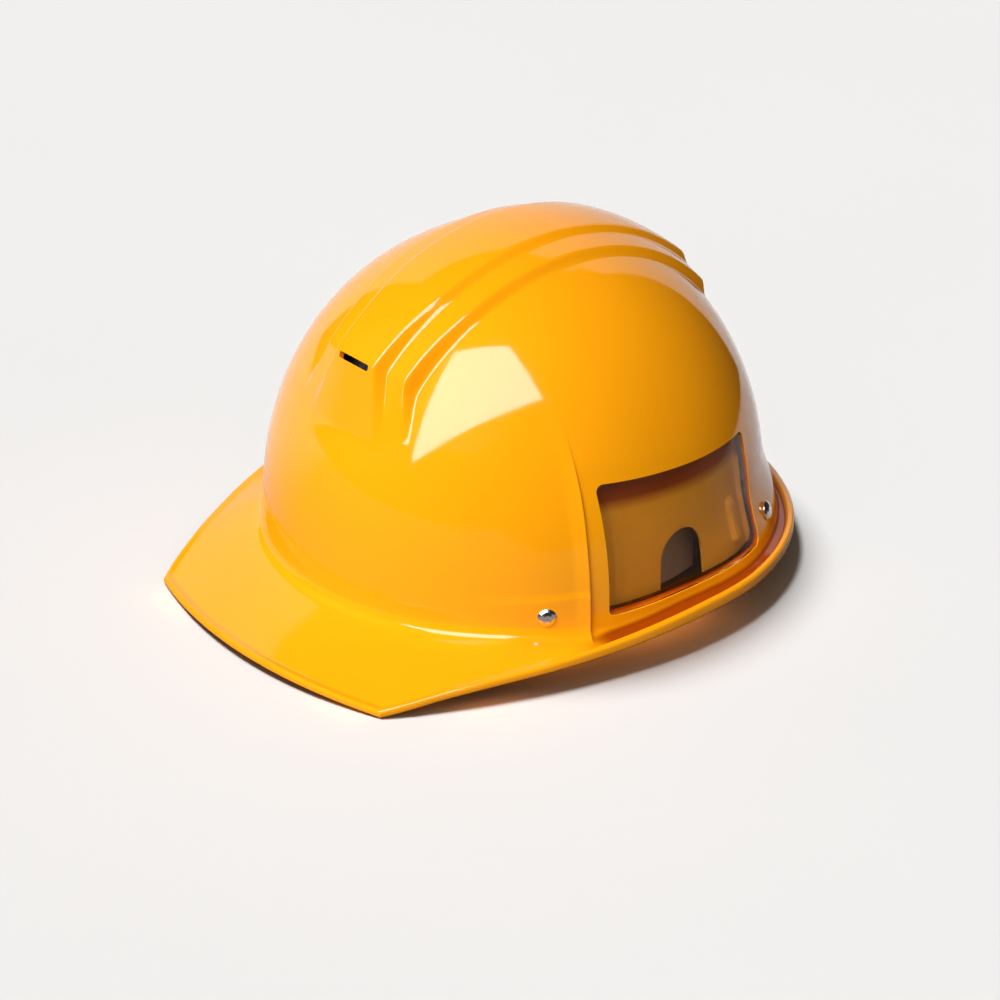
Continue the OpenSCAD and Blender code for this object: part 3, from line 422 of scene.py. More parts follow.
# The edge of the brim: x, y, height of its underside and of its lip
EDGE = np.array([
    [71, -133.4, 0, 3.6], [84.77, -106.85, 4.83, 8.43], [97.35, -77.5, 7.475, 11.275],
    [108.91, -39.35, 9.545, 14.345], [114.4, 1.5, 11.5, 17], [110.62, 41.5, 11.27, 16.77],
    [93.01, 78.35, 10.465, 15.965], [51.02, 113.81, 6.325, 11.825],
    [22.88, 128.82, 0, 6], [0, 132.8, 0, 6]])
KNOTS = np.stack([turn(EDGE[:, 0], EDGE[:, 1]), np.hypot(EDGE[:, 0], EDGE[:, 1]),
                  EDGE[:, 2], EDGE[:, 3]], -1)
BEFORE = 2 * KNOTS[0] - KNOTS[1]
AFTER = np.array([360 - KNOTS[-2][0], *KNOTS[-2][1:]])
KNOTS = np.vstack([BEFORE, KNOTS, AFTER])


def edge_value(a, j):
    """A column of KNOTS at a turn, on a smooth curve through the knots."""
    t = KNOTS[:, 0]
    i = np.clip(np.searchsorted(t, a, "right") - 1, 1, len(t) - 3)
    slope = (KNOTS[2:, j] - KNOTS[:-2, j]) / (t[2:] - t[:-2])
    d = t[i + 1] - t[i]
    u = (a - t[i]) / d
    v = 1 - u
    return (KNOTS[i, j] * (1 + 2 * u) * v * v + KNOTS[i + 1, j] * u * u * (1 + 2 * v)
            + d * u * v * (v * slope[i - 1] - u * slope[i]))


def front_reach(a):
    """Reach of the peak's front edge, which is a shallow parabola in plan."""
    full = PEAK_REACH + PEAK_BULGE
    q = np.maximum(PEAK_BULGE * (np.tan(np.radians(a)) / PEAK_HALF) ** 2, 1e-7)
    return (np.sqrt(1 + 4 * q * full) - 1) / (2 * q) / cos(a)


def edge_at(a):
    """Reach, underside and lip height of the brim's edge at a turn."""
    f = np.minimum(a, CORNER_TURN)
    low = PEAK_ARCH * (1 - (front_reach(f) * sin(f) / PEAK_HALF) ** 2)
    front = a < CORNER_TURN
    return (np.where(front, front_reach(f), edge_value(a, 1)),
            np.where(front, low, np.maximum(0, edge_value(a, 2))),
            np.where(front, low + 3.4, edge_value(a, 3)))


def brim_rings(a):
    """Rows of the brim's section, from the outer wall over the edge to the inner wall.

    Each row has its share of the way from wall to edge, how far it lies out from the wall
    and in from the edge, and its height.
    """
    reach, low, lip = edge_at(a)
    g = blend(60, 74, a)
    zero = np.zeros_like(a)
    one = zero + 1
    floor_z = lip - mix(0.15, GUTTER_DEPTH, g)
    foot = mix(PEAK_FOOT, floor_z, blend(45, 70, a))
    wall_s = flare_at(a, foot + 2.5) - flare_at(a, DOME_BASE)
    near_s = wall_s + mix(6, 1.4, g)
    near_z = foot - mix(0.3, 0, g)
    far_s = mix(4, 4.1, g)
    under_z = np.maximum(low + 0.4, near_z - WALL_T)
    rows = [
        [zero, wall_s + 0.1, zero, foot + mix(5, 2.5, g)],
        [zero, wall_s + mix(1.4, 0.4, g), zero, foot + mix(2, 0.9, g)],
        [zero, wall_s + mix(3.4, 0.9, g), zero, foot + mix(0.6, 0.2, g)],
        [zero, near_s, zero, near_z],
        [zero + 0.35, near_s, far_s, mix(near_z, floor_z, 0.35)],
        [zero + 0.7, near_s, far_s, mix(near_z, floor_z, 0.7)],
        [one, zero, far_s, floor_z],
        [one, zero, mix(2.6, 3, g), lip - mix(0.1, 0.5, g)],
        [one, zero, mix(1.9, 2.4, g), lip],
        [one, zero, zero + 0.8, lip],
        [one, zero, zero, lip - 0.9],
        [one, zero, zero, low + 0.7],
        [one, zero, zero + 0.6, low],
        [one, zero, zero + 2.6, low],
        [one, zero, zero + 3.2, low + 0.4],
        [zero + 0.6, near_s, far_s,
         np.maximum(low + 0.4, mix(near_z, floor_z, 0.6) - WALL_T)],
        [zero, near_s, zero, under_z],
        [zero, wall_s - 0.6, zero, under_z + 1.3],
        [zero, wall_s, zero, foot + 1.4],
    ]
    return rows, reach


def rim_loop(grid):
    """The grid's first row and, back again, its last row without the ends that they share."""
    return np.concatenate([grid[0], grid[-1][-2:0:-1]])


def brim_points(ends, inner):
    """The brim's section from the outer rim to the inner rim, its corners rounded."""
    q = rim_loop(dome_grid(ends, 0, plain=True))
    p_out = rim_loop(dome_grid(ends, 0))
    a = turn(q[:, 0], q[:, 1])
    rows, reach = brim_rings(a)
    line = [p_out]
    for k, (share, near, far, z) in enumerate(rows):
        p = inner if k == len(rows) - 1 else p_out
        n = 1 + near / np.hypot(p[:, 0], p[:, 1])
        f = (reach - far) / np.hypot(q[:, 0], q[:, 1])
        line.append(np.stack([mix(p[:, 0] * n, q[:, 0] * f, share),
                              mix(p[:, 1] * n, q[:, 1] * f, share), z], -1))
    line.append(inner)
    out = []
    for k in range(1, len(line) - 1):
        p, before, after = line[k], line[k - 1] - line[k], line[k + 1] - line[k]
        arms = []
        for v in (before, after):
            size = np.linalg.norm(v, axis=1, keepdims=True)
            arms.append(p + v / np.maximum(size, 1e-6) * np.minimum(0.5, 0.42 * size))
        out += [arms[0], 0.25 * arms[0] + 0.5 * p + 0.25 * arms[1], arms[1]]
    return np.array(out)


def row_angles():
    """Rows of the grid, close together at the ridge's crease and at its rear end."""
    fine = [CREASE + d for d in (-2.4, -1.6, -1.0, -0.6, -0.3, 0, 0.3, 0.6, 1.0, 1.6, 2.4)]
    end = list(np.arange(RIDGE_END - 0.8, RIDGE_END + 5.6, 0.35))
    rows = list(np.linspace(0, CREASE - 3.4, 34)) + fine
    rows += list(np.linspace(CREASE + 3.4, RIDGE_END - 1.8, 58)) + end
    return np.array(rows + list(np.linspace(RIDGE_END + 6.4, 180, 30)))


def rounded_box(y0, y1, z0, z1, drop, r, steps=8):
    """An outline with rounded corners whose top falls by drop from y0 to y1."""
    pts = []
    for cy, cz, a0 in ((y0 + r, z0 + r, 180), (y1 - r, z0 + r, 270),
                       (y1 - r, z1 - drop - r, 0), (y0 + r, z1 - r, 90)):
        for k in range(steps + 1):
            a = a0 + 90 * k / steps
            pts.append((cy + r * cos(a), cz + r * sin(a)))
    return pts


def window_outline():
    return rounded_box(WIN_FRONT, WIN_REAR, WIN_LOW, WIN_HIGH, WIN_DROP, WIN_CORNER)


def window_top(y):
    """Height of the window's upper edge, which falls to the rear."""
    return WIN_HIGH - WIN_DROP * (y - WIN_FRONT) / (WIN_REAR - WIN_FRONT)


def shell_mesh():
    """The dome's outer and inner face, joined by the rings of the brim's section."""
    ps = row_angles()
    outer = dome_grid(ps, 0)
    inner = dome_grid(ps, WALL_T)
    rings = brim_points(ps[[0, -1]], rim_loop(inner))
    rows, cols = outer.shape[:2]
    count, loop = rings.shape[:2]
    size = rows * cols
    rim = rim_loop(np.arange(size).reshape(rows, cols))
    between = 2 * size + np.arange(count * loop).reshape(count, loop)
    lines = np.vstack([rim, between, rim + size])
    onward = np.roll(lines, -1, axis=1)
    quads = np.stack([lines[:-1], lines[1:], onward[1:], onward[:-1]], -1)
    faces = grid_faces(rows, cols) + grid_faces(rows, cols, size, flip=True)
    faces += quads.reshape(-1, 4).tolist()
    points = [grid.reshape(-1, 3) for grid in (outer, inner, rings)]
    return make_object("helmet_shell", np.concatenate(points), faces)


def make_shell():
    shell = shell_mesh()
    cutters = [side_cutter("window_cut", window_outline(), side) for side in (1, -1)]
    cutters += [rivet_cutter(side, name) for side in (1, -1) for name in RIVETS]
    cut(shell, *cutters, vent_cutter())
    tidy(shell, 30)
    mark_painted_shade(shell)
    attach(shell, "helmet")
    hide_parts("shell")
    return shell


def mark_painted_shade(shell):
    """A value that rises to 1 in the gutter and on the inner rim of the window openings: the mask
    where the shell's colour gets painted shade.
    """
    mesh = shell.data
    p = np.empty(len(mesh.vertices) * 3)
    mesh.vertices.foreach_get("co", p)
    x, y, z = (p.reshape(-1, 3) / MM - [0, DOME_Y, 0]).T
    a, r = turn(x, y), np.hypot(x, y)
    reach, _, lip = edge_at(a)
    floor_z = lip - GUTTER_DEPTH
    foot = mix(PEAK_FOOT, floor_z, blend(45, 70, a))
    wall = 1 / np.hypot(sin(a) / HALF_W, cos(a) / np.where(y < 0, DOME_FRONT, DOME_REAR))
    gutter = blend(46, 72, a) * blend(2.4, 3.0, reach - r) * (z > floor_z - 0.9)
    gutter *= 1 - blend(0.3, 2.4, z - foot)
    gutter *= 1 - blend(3, 8, r - wall) * (1 - blend(60, 72, a))
    out = np.maximum(np.maximum(WIN_FRONT - y, y - WIN_REAR),
                     np.maximum(WIN_LOW - z, z - window_top(y)))
    behind = np.abs(x) < panel_x(y, z, 1.0)
    rim = (out > -1.3) & (out < 0.1) & behind & (np.abs(x) > 60)
    # Mask of painted shade: 1 in the gutter and on the window openings' cut faces
    deep = mesh.attributes.new("deep", "FLOAT", "POINT")
    deep.data.foreach_set("value", np.where(rim, 1, gutter).astype(np.float32))


def rivet_frame(side, name):
    """Place of a rivet's hole, its first axis square to the wall."""
    col, z = RIVETS[name]
    back = DOME_REAR if name == "rear" else -DOME_FRONT
    p = np.array([HALF_W * sin(col), back * cos(col), z])
    a = turn(p[0], p[1])
    p[:2] *= 1 + flare_at(a, z) / np.hypot(p[0], p[1])
    heading = math.atan2(cos(col) / back, sin(col) / HALF_W)
    lean = math.atan((flare_at(a, z - 5.2) - flare_at(a, z + 5.2)) / 10.4)
    m = (Matrix.Translation(Vector(p)) @ Matrix.Rotation(heading, 4, "Z")
         @ Matrix.Rotation(-lean, 4, "Y"))
    return Matrix.Diagonal((side, 1, 1, 1)) @ m


def rivet_cutter(side, name):
    m = rivet_frame(side, name)
    circle = [(RIVET_HOLE_R * cos(k * 7.5), RIVET_HOLE_R * sin(k * 7.5)) for k in range(48)]
    return drawn_out("rivet_cut", *([m @ Vector((x, u, v)) for u, v in circle] for x in (-20, 20)))


def vent_cutter():
    """The slit just below the ridge's crease."""
    a = CREASE - 0.8
    w = FACE_D / cos(a - FACE_LEAN)
    outline = rounded_box(-9, 9, -1.3, 1.3, 0, 1.0)
    m = (Matrix.Translation((0, -w * cos(a), DOME_BASE + w * sin(a)))
         @ Matrix.Rotation(math.radians(-38), 4, "X"))
    return drawn_out("vent_cut", *([m @ Vector((x, y, z)) for x, z in outline] for y in (-15, 15)))


# Windows


def panel_x(y, z, depth):
    """Half width of the recessed side wall at a point, depth in from its outer face."""
    up = np.maximum(0, z - DOME_BASE)
    ps = np.degrees(np.arctan2(up, -y))
    share = np.hypot(y, up) / (dome_w_at(ps) - depth)
    x = (HALF_W - depth) * np.sqrt(np.maximum(1e-6, 1 - share ** 2))
    nx, ny = x / HALF_W ** 2, y / DOME_REAR ** 2
    return x + flare_at(turn(x, y), z) * np.hypot(nx, ny) / nx - recess_at(y, z)


def panel_yz(ny, nz):
    """A grid over the window and a little more all round it."""
    y = np.linspace(WIN_FRONT - 0.9, WIN_REAR + 2.2, ny)[:, None] + np.zeros((1, nz))
    return y, mix(WIN_LOW - 2.2, window_top(y) + 0.9, np.linspace(0, 1, nz)[None, :])


def panel_grid(y, z, depth, side):
    return np.stack([panel_x(y, z, depth) * side, y, z], -1)


def window_ring(step=2.0):
    """Points round the opening about a step apart, and their outward normals."""
    corners = np.array(window_outline())
    pts = []
    for p, q in zip(corners, np.roll(corners, -1, axis=0)):
        n = max(1, int(np.linalg.norm(q - p) / step))
        pts += [mix(p, q, k / n) for k in range(n)]
    pts = np.array(pts)
    run = np.roll(pts, -1, axis=0) - np.roll(pts, 1, axis=0)
    run /= np.linalg.norm(run, axis=1, keepdims=True)
    return pts, np.stack([run[:, 1], -run[:, 0]], -1)


def make_lens(side, label):
    """A thin pane that fills the opening and the flange that holds it behind the wall."""
    edge, normal = window_ring()
    middle = edge.mean(axis=0)
    lap = np.where(edge[:, 1] > 60, 0.9, 2.0)[:, None]
    lift = 1 - FACE_RECESS

    def ring(p, depth, lifted=0):
        y, z = p[:, 0], p[:, 1]
        return np.stack([(panel_x(y, z, depth) + lifted * recess_at(y, z)) * side, y, z], -1)

    inward = [middle + (edge - middle) * f for f in np.linspace(0.96, 0.06, 16)]
    rim, bevel, lapped = edge - 0.08 * normal, edge - 0.3 * normal, edge + lap * normal
    rings = [ring(p, PANE_BACK, lift) for p in inward[::-1]]
    rings += [ring(rim, PANE_BACK, lift), ring(rim, PANE_EDGE, lift), ring(bevel, PANE_FRONT, lift)]
    rings += [ring(p, PANE_FRONT, lift) for p in inward]
    n, m = len(rings), len(edge)
    faces = rod_faces(n, m) + grid_faces(4, m, n * m, round_cols=True, round_rows=True)
    rings += [ring(lapped, FLANGE_BACK), ring(lapped, FLANGE_FRONT),
              ring(bevel, FLANGE_FRONT), ring(bevel, FLANGE_BACK)]
    lens = make_object("window_lens_" + label + "_clear", np.concatenate(rings), faces)
    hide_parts("window_lens_" + label)
    return lens


def pocket_depth(y, z):
    """Depth of the tray's face: a rim round a pocket that is open below, a fold and a clip bar."""
    inside = np.minimum(np.minimum(y - WIN_FRONT, WIN_REAR - y), window_top(y) - z)
    fold = 0.7 * (1 - blend(-24.5, -22.5, y))
    across = blend(43, 45, y) * (1 - blend(48, 50, y))
    along = blend(21, 24, z) * (1 - blend(38, 41, z))
    bar = 2.2 * across * along
    return mix(TRAY_RIM, TRAY_FLOOR, blend(-0.1, 0.9, inside)) - (fold + bar) * blend(1, 2, inside)


def make_tray(side, label):
    y, z = panel_yz(170, 110)
    points = [panel_grid(y, z, depth, side).reshape(-1, 3)
              for depth in (pocket_depth(y, z), TRAY_BACK)]
    tray = make_object("card_tray_" + label + "_moulded", np.concatenate(points),
                       plate_faces(*y.shape))
    r = NOTCH_W / 2
    arch = [(r + r * cos(a), NOTCH_TOP - r + r * sin(a)) for a in range(0, 181, 6)]
    arch += [(0, NOTCH_FOOT), (NOTCH_W, NOTCH_FOOT)]
    cut(tray, side_cutter("notch_cut", arch, side))
    tidy(tray, 30)
    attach(tray, "helmet")
    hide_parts("card_tray_" + label)
    return tray


# Liner, straps and pads


def liner_point(a, f, g):
    """A ring of the liner's face: f runs from foot to crown, g is how far it lies inside."""
    x = LINER_HALF_W - g[0]
    y = np.where(cos(a) > 0, DOME_FRONT, DOME_REAR) - LINER_GAP - g[1]
    z = DOME_H - LINER_GAP - g[2]
    low = np.degrees(np.arcsin((LINER_FOOT - DOME_BASE) / z))
    e = mix(low, 90, f)
    return np.stack([x * cos(e) * sin(a), -y * cos(e) * cos(a), DOME_BASE + z * sin(e) + 0 * a], -1)


def make_liner():
    na, ne = 144, 60
    a = np.arange(na) * 360 / na
    rings = np.linspace(0, 1, ne)
    outer = [liner_point(a, f, (0, 0, 0)) for f in rings]
    inner = []
    for f in rings:
        p = liner_point(a, f, LINER_T)
        q = liner_point(a, f, GROOVE_T)
        lines = np.minimum(np.abs(np.abs(p[:, 0]) - 26), np.abs(np.abs(p[:, 1] - 4) - 34))
        deep = (1 - blend(2.5, 4.2, lines)) * blend(0.04, 0.1, f)
        inner.append(mix(p, q, deep[:, None]))
    liner = make_object("foam_liner", np.concatenate(outer + inner), bowl_faces(ne, na, 0),
                        angle=40)
    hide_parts("impact_liner")
    return liner


def strap_end(side, reach, target):
    """A strap's level end, 8 mm long, and its straight run up to the arc."""
    flat = np.stack([np.linspace(reach, reach - 8, 8) * side, np.full(8, STRAP_Z)], -1)
    k = np.linspace(0, 1, 10)[1:-1, None]
    return np.concatenate([flat, mix(flat[-1], target, k)])


def strap_path(lift):
    """The strap's underside in its upright plane, from the front end to the rear end."""
    e = np.linspace(172, 8, 90)
    arc = np.stack([(ARC_HALF + lift) * cos(e), ARC_BASE + (CROWN_RISE + lift) * sin(e)], -1)
    front = strap_end(-1, STRAP_REACH["front"], arc[0])
    rear = strap_end(1, STRAP_REACH["rear"], arc[-1])
    return np.concatenate([front, arc, rear[::-1]])


def make_strap(name, side, lift):
    path = strap_path(lift)
    tangent = np.gradient(path, axis=0)
    tangent /= np.linalg.norm(tangent, axis=1, keepdims=True)
    normal = np.stack([-tangent[:, 1], tangent[:, 0]], -1)
    along = np.array([cos(STRAP_TURN), sin(STRAP_TURN)])
    across = np.array([-along[1], along[0]])
    half = STRAP_HALF
    wide = np.linspace(-half + 0.35, half - 0.35, 9)
    section = [(w, 1.15) for w in wide] + [(half - 0.08, 0.95), (half, 0.6), (half - 0.08, 0.25)]
    section += [(w, 0.05) for w in wide[::-1]]
    section += [(-half + 0.08, 0.25), (-half, 0.6), (-half + 0.08, 0.95)]
    points = []
    for p, n in zip(path, normal):
        for w, t in section:
            u, z = p + n * t * (1 if n[1] > 0 else -1)
            xy = along * u + across * w
            points.append((xy[0] * side, CROSS_Y + xy[1], z))
    strap = make_object(name, points, rod_faces(len(path), len(section)), angle=50)
    return strap


def make_crown_pad():
    """A round cushion under the straps' crossing, bowed as they are, with a seam near its edge."""
    rings, count = 26, 96
    pts = []
    for face in (1, -1):
        for f in np.linspace(0, 1, rings):
            r = PAD_R * math.sin(f * math.pi / 2)
            seam = 0.5 * math.exp(-((r - 25.5) / 0.8) ** 2)
            half = max(0.02, 1.5 * math.sqrt(max(0, 1 - f ** 6)) - seam)
            drop = CROWN_RISE * (1 - math.sqrt(1 - (r / ARC_HALF) ** 2)) * 1.12 + 0.3
            z = ARC_BASE + CROWN_RISE - drop - 1.5 + face * half
            for k in range(count):
                a = 360 * k / count
                pts.append((r * cos(a), CROSS_Y + r * sin(a), z))
    pad = make_object("crown_cushion", pts, bowl_faces(rings, count, rings - 1), angle=60)
    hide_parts("crown_pad")
    return pad


def band_point(a, g):
    """Line of the headband in plan: an arc behind and half an ellipse in front."""
    reach = np.where(cos(a) > 0, BAND_FRONT, BAND_R)
    return np.stack([(BAND_R + g) * sin(a), BAND_Y - (reach + g) * cos(a)], -1)


def nape_point(a, g):
    """Line of the nape pad in plan, an arc inside the headband's."""
    return np.stack([(NAPE_R + g) * sin(a), BAND_Y + (NAPE_R + g) * cos(a)], -1)


def padded_strip(name, angles, low, high, g_out, g_in, plan):
    """A strip of padding along a line in plan, its inner face crowned between two seams."""
    rows, n = 28, len(angles)
    pts = []
    for face in (0, 1):
        for t in np.linspace(0, 1, rows):
            off = abs(2 * t - 1)
            seam = 0.25 * math.exp(-((off - 0.78) / 0.05) ** 2)
            for k, a in enumerate(angles):
                end = min(1, 18 * min(k, n - 1 - k) / (n - 1))
                full = 1 - (1 - end) ** 2
                depth = max(0.1, (1 - off ** 4) * full - seam)
                x, y = plan(a, mix(g_out, g_in, depth * face))
                z = mix((low + high) / 2, mix(low, high, t), 1 - 0.06 * (1 - full))
                pts.append((x, y, z))
    strip = make_object(name, pts, plate_faces(rows, n), angle=60)
    return strip


def make_sweatband():
    strip = padded_strip("sweatband_padding", np.linspace(-62, 62, 160), 9, 35, -0.3, -3.3,
                         band_point)
    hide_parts("sweatband")
    return strip


def make_nape_pad():
    strip = padded_strip("nape_padding", np.linspace(-32, 32, 70), 7, 27, 0, -3, nape_point)
    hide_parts("nape_pad")
    return strip


# Materials


class Paint:
    """A node material with a Principled shader and a few shorthand calls."""

    def __init__(self, name, **sockets):
        self.mat = bpy.data.materials.new(name)
        self.mat.use_nodes = True
        self.tree = self.mat.node_tree
        self.shader = self.tree.nodes["Principled BSDF"]
        self.coord = self.add("ShaderNodeTexCoord").outputs["Object"]
        for key, value in sockets.items():
            self.shader.inputs[key.replace("_", " ")].default_value = value

    def add(self, kind, **inputs):
        node = self.tree.nodes.new(kind)
        for key, value in inputs.items():
            self.join(value, node.inputs[key.replace("_", " ")])
        return node

    def join(self, value, socket):
        if isinstance(value, bpy.types.NodeSocket):
            self.tree.links.new(value, socket)
        else:
            socket.default_value = value

    def noise(self, scale, detail=3.0, rough=0.5, stretch=None):
        at = self.coord
        if stretch:
            at = self.add("ShaderNodeMapping", Vector=at, Scale=stretch).outputs[0]
        return self.add("ShaderNodeTexNoise", Vector=at, Scale=scale, Detail=detail,
                        Roughness=rough).outputs[0]

    def ramp(self, value, stops):
        node = self.add("ShaderNodeValToRGB", Fac=value)
        points = node.color_ramp.elements
        for p, (place, colour) in zip(points, stops):
            p.position = place
            p.color = (*colour, 1)
        return node.outputs[0]

    def tinted(self, share, a, b):
        """Colour a, and colour b where the share is 1."""
        node = self.add("ShaderNodeMix", Factor=share)
        node.data_type = "RGBA"
        self.join(a, node.inputs["A"])
        self.join(b, node.inputs["B"])
        return node.outputs["Result"]

    def grade(self, value, low, high, a, b):
        node = self.add("ShaderNodeMapRange", Value=value, From_Min=low, From_Max=high,
                        To_Min=a, To_Max=b)
        return node.outputs[0]

    def math(self, kind, a, b):
        node = self.tree.nodes.new("ShaderNodeMath")
        node.operation = kind
        self.join(a, node.inputs[0])
        self.join(b, node.inputs[1])
        return node.outputs[0]

    def bump(self, height, distance, strength, normal=None):
        node = self.add("ShaderNodeBump", Height=height, Distance=distance, Strength=strength)
        if normal:
            self.tree.links.new(normal, node.inputs["Normal"])
        return node.outputs[0]

    def set(self, **links):
        for key, value in links.items():
            self.join(value, self.shader.inputs[key.replace("_", " ")])


def shell_paint():
    """Glossy yellow plastic, with painted shade, a dark orange, in the gutter and on the window
    openings' inner rims.
    """
    p = Paint("shell_yellow_plastic", IOR=1.46)
    skin = p.ramp(p.noise(9, 2), [(0.3, (0.97, 0.355, 0.003)), (0.7, (1.0, 0.38, 0.004))])
    deep = p.add("ShaderNodeAttribute")
    deep.attribute_name = "deep"
    # Painted shade: dark orange where the deep mask rises, in the gutter and round the windows
    p.set(Base_Color=p.tinted(deep.outputs["Fac"], skin, (0.34, 0.05, 0.001, 1)))
    scuff = p.noise(60, 6, 0.7, (1, 1, 5))
    p.set(Roughness=p.grade(scuff, 0.45, 0.8, 0.06, 0.14))
    grain = p.noise(900, 2)
    p.set(Normal=p.bump(grain, 0.00002, 0.3, p.bump(p.noise(45, 2), 0.0002, 0.2)))
    return p.mat


def clear_paint():
    """Smoky sheet that lets its tint through to the shadows too."""
    tint = (0.62, 0.47, 0.36, 1)
    p = Paint("smoky_clear_sheet", Base_Color=tint, IOR=1.2, Transmission_Weight=1.0)
    scratch = p.noise(250, 5, 0.7, (1, 1, 7))
    p.set(Roughness=p.grade(scratch, 0.5, 0.85, 0.04, 0.16))
    film = p.add("ShaderNodeBsdfTransparent", Color=tint)
    path = p.add("ShaderNodeLightPath")
    both = p.add("ShaderNodeMixShader", Fac=path.outputs["Is Shadow Ray"])
    p.tree.links.new(p.shader.outputs[0], both.inputs[1])
    p.tree.links.new(film.outputs[0], both.inputs[2])
    p.tree.links.new(both.outputs[0], p.tree.nodes["Material Output"].inputs[0])
    return p.mat


def tray_paint():
    """Satin yellow plastic, with a painted shadow along the top where the wall hangs over it."""
    p = Paint("tray_yellow_plastic", IOR=1.5)
    skin = p.ramp(p.noise(14, 3), [(0.3, (0.55, 0.39, 0.033)), (0.7, (0.62, 0.43, 0.04))])
    at = p.add("ShaderNodeSeparateXYZ", Vector=p.coord).outputs
    high = p.math("ADD", at[2], p.math("MULTIPLY", at[1], 0.09))
    share = p.grade(high, 0.058, 0.063, 0.0, 1.0)
    # Painted shadow: dark brown over the tray's top, standing in for the wall's overhang shadow
    p.set(Base_Color=p.tinted(share, skin, (0.22, 0.055, 0.001, 1)))
    p.set(Roughness=p.grade(p.noise(80, 4), 0.3, 0.8, 0.3, 0.45))
    p.set(Normal=p.bump(p.noise(1500, 2), 0.00003, 0.4))
    return p.mat


def steel_paint():
    p = Paint("bright_plated_steel", Metallic=1.0)
    stops = [(0.3, (0.72, 0.72, 0.74)), (0.7, (0.86, 0.86, 0.88))]
    p.set(Base_Color=p.ramp(p.noise(120, 4), stops))
    p.set(Roughness=p.grade(p.noise(600, 5, 0.7, (1, 4, 1)), 0.3, 0.8, 0.12, 0.3))
    p.set(Normal=p.bump(p.noise(900, 3), 0.00002, 0.3))
    return p.mat


def moulded_paint(name, dark, pale, grain=1100):
    p = Paint(name, IOR=1.48)
    p.set(Base_Color=p.ramp(p.noise(30, 4), [(0.3, dark), (0.75, pale)]))
    p.set(Roughness=p.grade(p.noise(240, 4), 0.3, 0.8, 0.42, 0.62))
    p.set(Normal=p.bump(p.noise(grain, 3, 0.6), 0.00008, 0.5))
    return p.mat


def foam_paint():
    p = Paint("grey_beaded_foam", IOR=1.4)
    cells = p.add("ShaderNodeTexVoronoi", Vector=p.coord, Scale=330.0)
    edge = p.add("ShaderNodeTexVoronoi", Vector=p.coord, Scale=330.0)
    edge.feature = "DISTANCE_TO_EDGE"
    shade = p.math("MULTIPLY", cells.outputs["Distance"], 0.8)
    p.set(Base_Color=p.ramp(shade, [(0.1, (0.2, 0.2, 0.205)), (0.6, (0.1, 0.1, 0.105))]))
    p.set(Roughness=p.grade(p.noise(200, 3), 0.3, 0.7, 0.7, 0.9))
    p.set(Normal=p.bump(p.grade(edge.outputs["Distance"], 0, 0.12, 0, 1), 0.0005, 0.8))
    return p.mat


def weave(p, cross, pitch, heading):
    """Over-and-under threads from two crossed waves; cross is the height of the second."""
    at = p.add("ShaderNodeMapping", Vector=p.coord,
               Rotation=(0, 0, math.radians(-heading))).outputs[0]
    one = p.add("ShaderNodeTexWave", Vector=at, Scale=pitch)
    one.bands_direction = "X"
    two = p.add("ShaderNodeTexWave", Vector=at, Scale=pitch * 0.7)
    two.bands_direction = "Y"
    return p.math("MAXIMUM", one.outputs["Fac"], p.math("MULTIPLY", two.outputs["Fac"], cross))


def webbing_paint(name, heading):
    p = Paint(name, IOR=1.4, Sheen_Weight=0.25)
    threads = weave(p, 0.85, 320.0, heading)
    p.set(Base_Color=p.ramp(threads, [(0.2, (0.045, 0.045, 0.048)), (0.9, (0.16, 0.16, 0.165))]))
    p.set(Roughness=p.grade(p.noise(300, 3), 0.3, 0.7, 0.72, 0.92))
    p.set(Normal=p.bump(threads, 0.00035, 0.9))
    return p.mat


def cloth_paint():
    p = Paint("dark_pad_cloth", IOR=1.4, Sheen_Weight=0.35, Sheen_Roughness=0.5)
    nap = p.noise(1400, 4, 0.7)
    knit = weave(p, 0.9, 520.0, 45)
    p.set(Base_Color=p.ramp(p.math("MULTIPLY", nap, knit),
                            [(0.1, (0.014, 0.013, 0.013)), (0.6, (0.05, 0.047, 0.045))]))
    p.set(Roughness=p.grade(nap, 0.2, 0.8, 0.8, 0.98))
    p.set(Normal=p.bump(knit, 0.0002, 0.6, p.bump(nap, 0.0003, 0.5)))
    return p.mat


def dress(obj, mat):
    obj.data.materials.clear()
    obj.data.materials.append(mat)


# The object

steel = steel_paint()
black = moulded_paint("black_moulded_plastic", (0.011, 0.011, 0.012), (0.02, 0.02, 0.021))
grey = moulded_paint("grey_moulded_plastic", (0.03, 0.03, 0.032), (0.05, 0.05, 0.052), 900)
white = moulded_paint("white_moulded_plastic", (0.62, 0.62, 0.6), (0.74, 0.74, 0.71))
pale = moulded_paint("pale_moulded_plastic", (0.46, 0.45, 0.43), (0.54, 0.53, 0.51), 900)
cloth = cloth_paint()

dress(make_shell(), shell_paint())
clear = clear_paint()
tray = tray_paint()
for side, label in ((1, "left"), (-1, "right")):
    dress(make_lens(side, label), clear)
    dress(make_tray(side, label), tray)
dress(make_liner(), foam_paint())
lower = make_strap("crown_webbing_lower", 1, 0)
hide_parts("crown_strap_lower")
dress(lower, webbing_paint("grey_webbing_a", STRAP_TURN))
upper = make_strap("crown_webbing_upper", -1, UPPER_LIFT)
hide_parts("crown_strap_upper")
dress(upper, webbing_paint("grey_webbing_b", -STRAP_TURN))
for pad in (make_crown_pad(), make_sweatband(), make_nape_pad()):
    dress(pad, cloth)

for name in ("shell_rivets", "rivet_washers", "ratchet_screws", "knob_screw", "detent_ring"):
    dress(nodes[name], steel)
for name in ("nape_cradle", "ratchet_housing", "ratchet_cover", "ratchet_knob"):
    dress(nodes[name], black)
for name in ("hanger_front_left", "hanger_front_right", "hanger_rear_left", "hanger_rear_right",
             "arm_left", "arm_right"):
    dress(nodes[name], grey)
dress(nodes["ratchet_pinion"], white)
dress(nodes["headband"], pale)

# Floor, lamps and camera


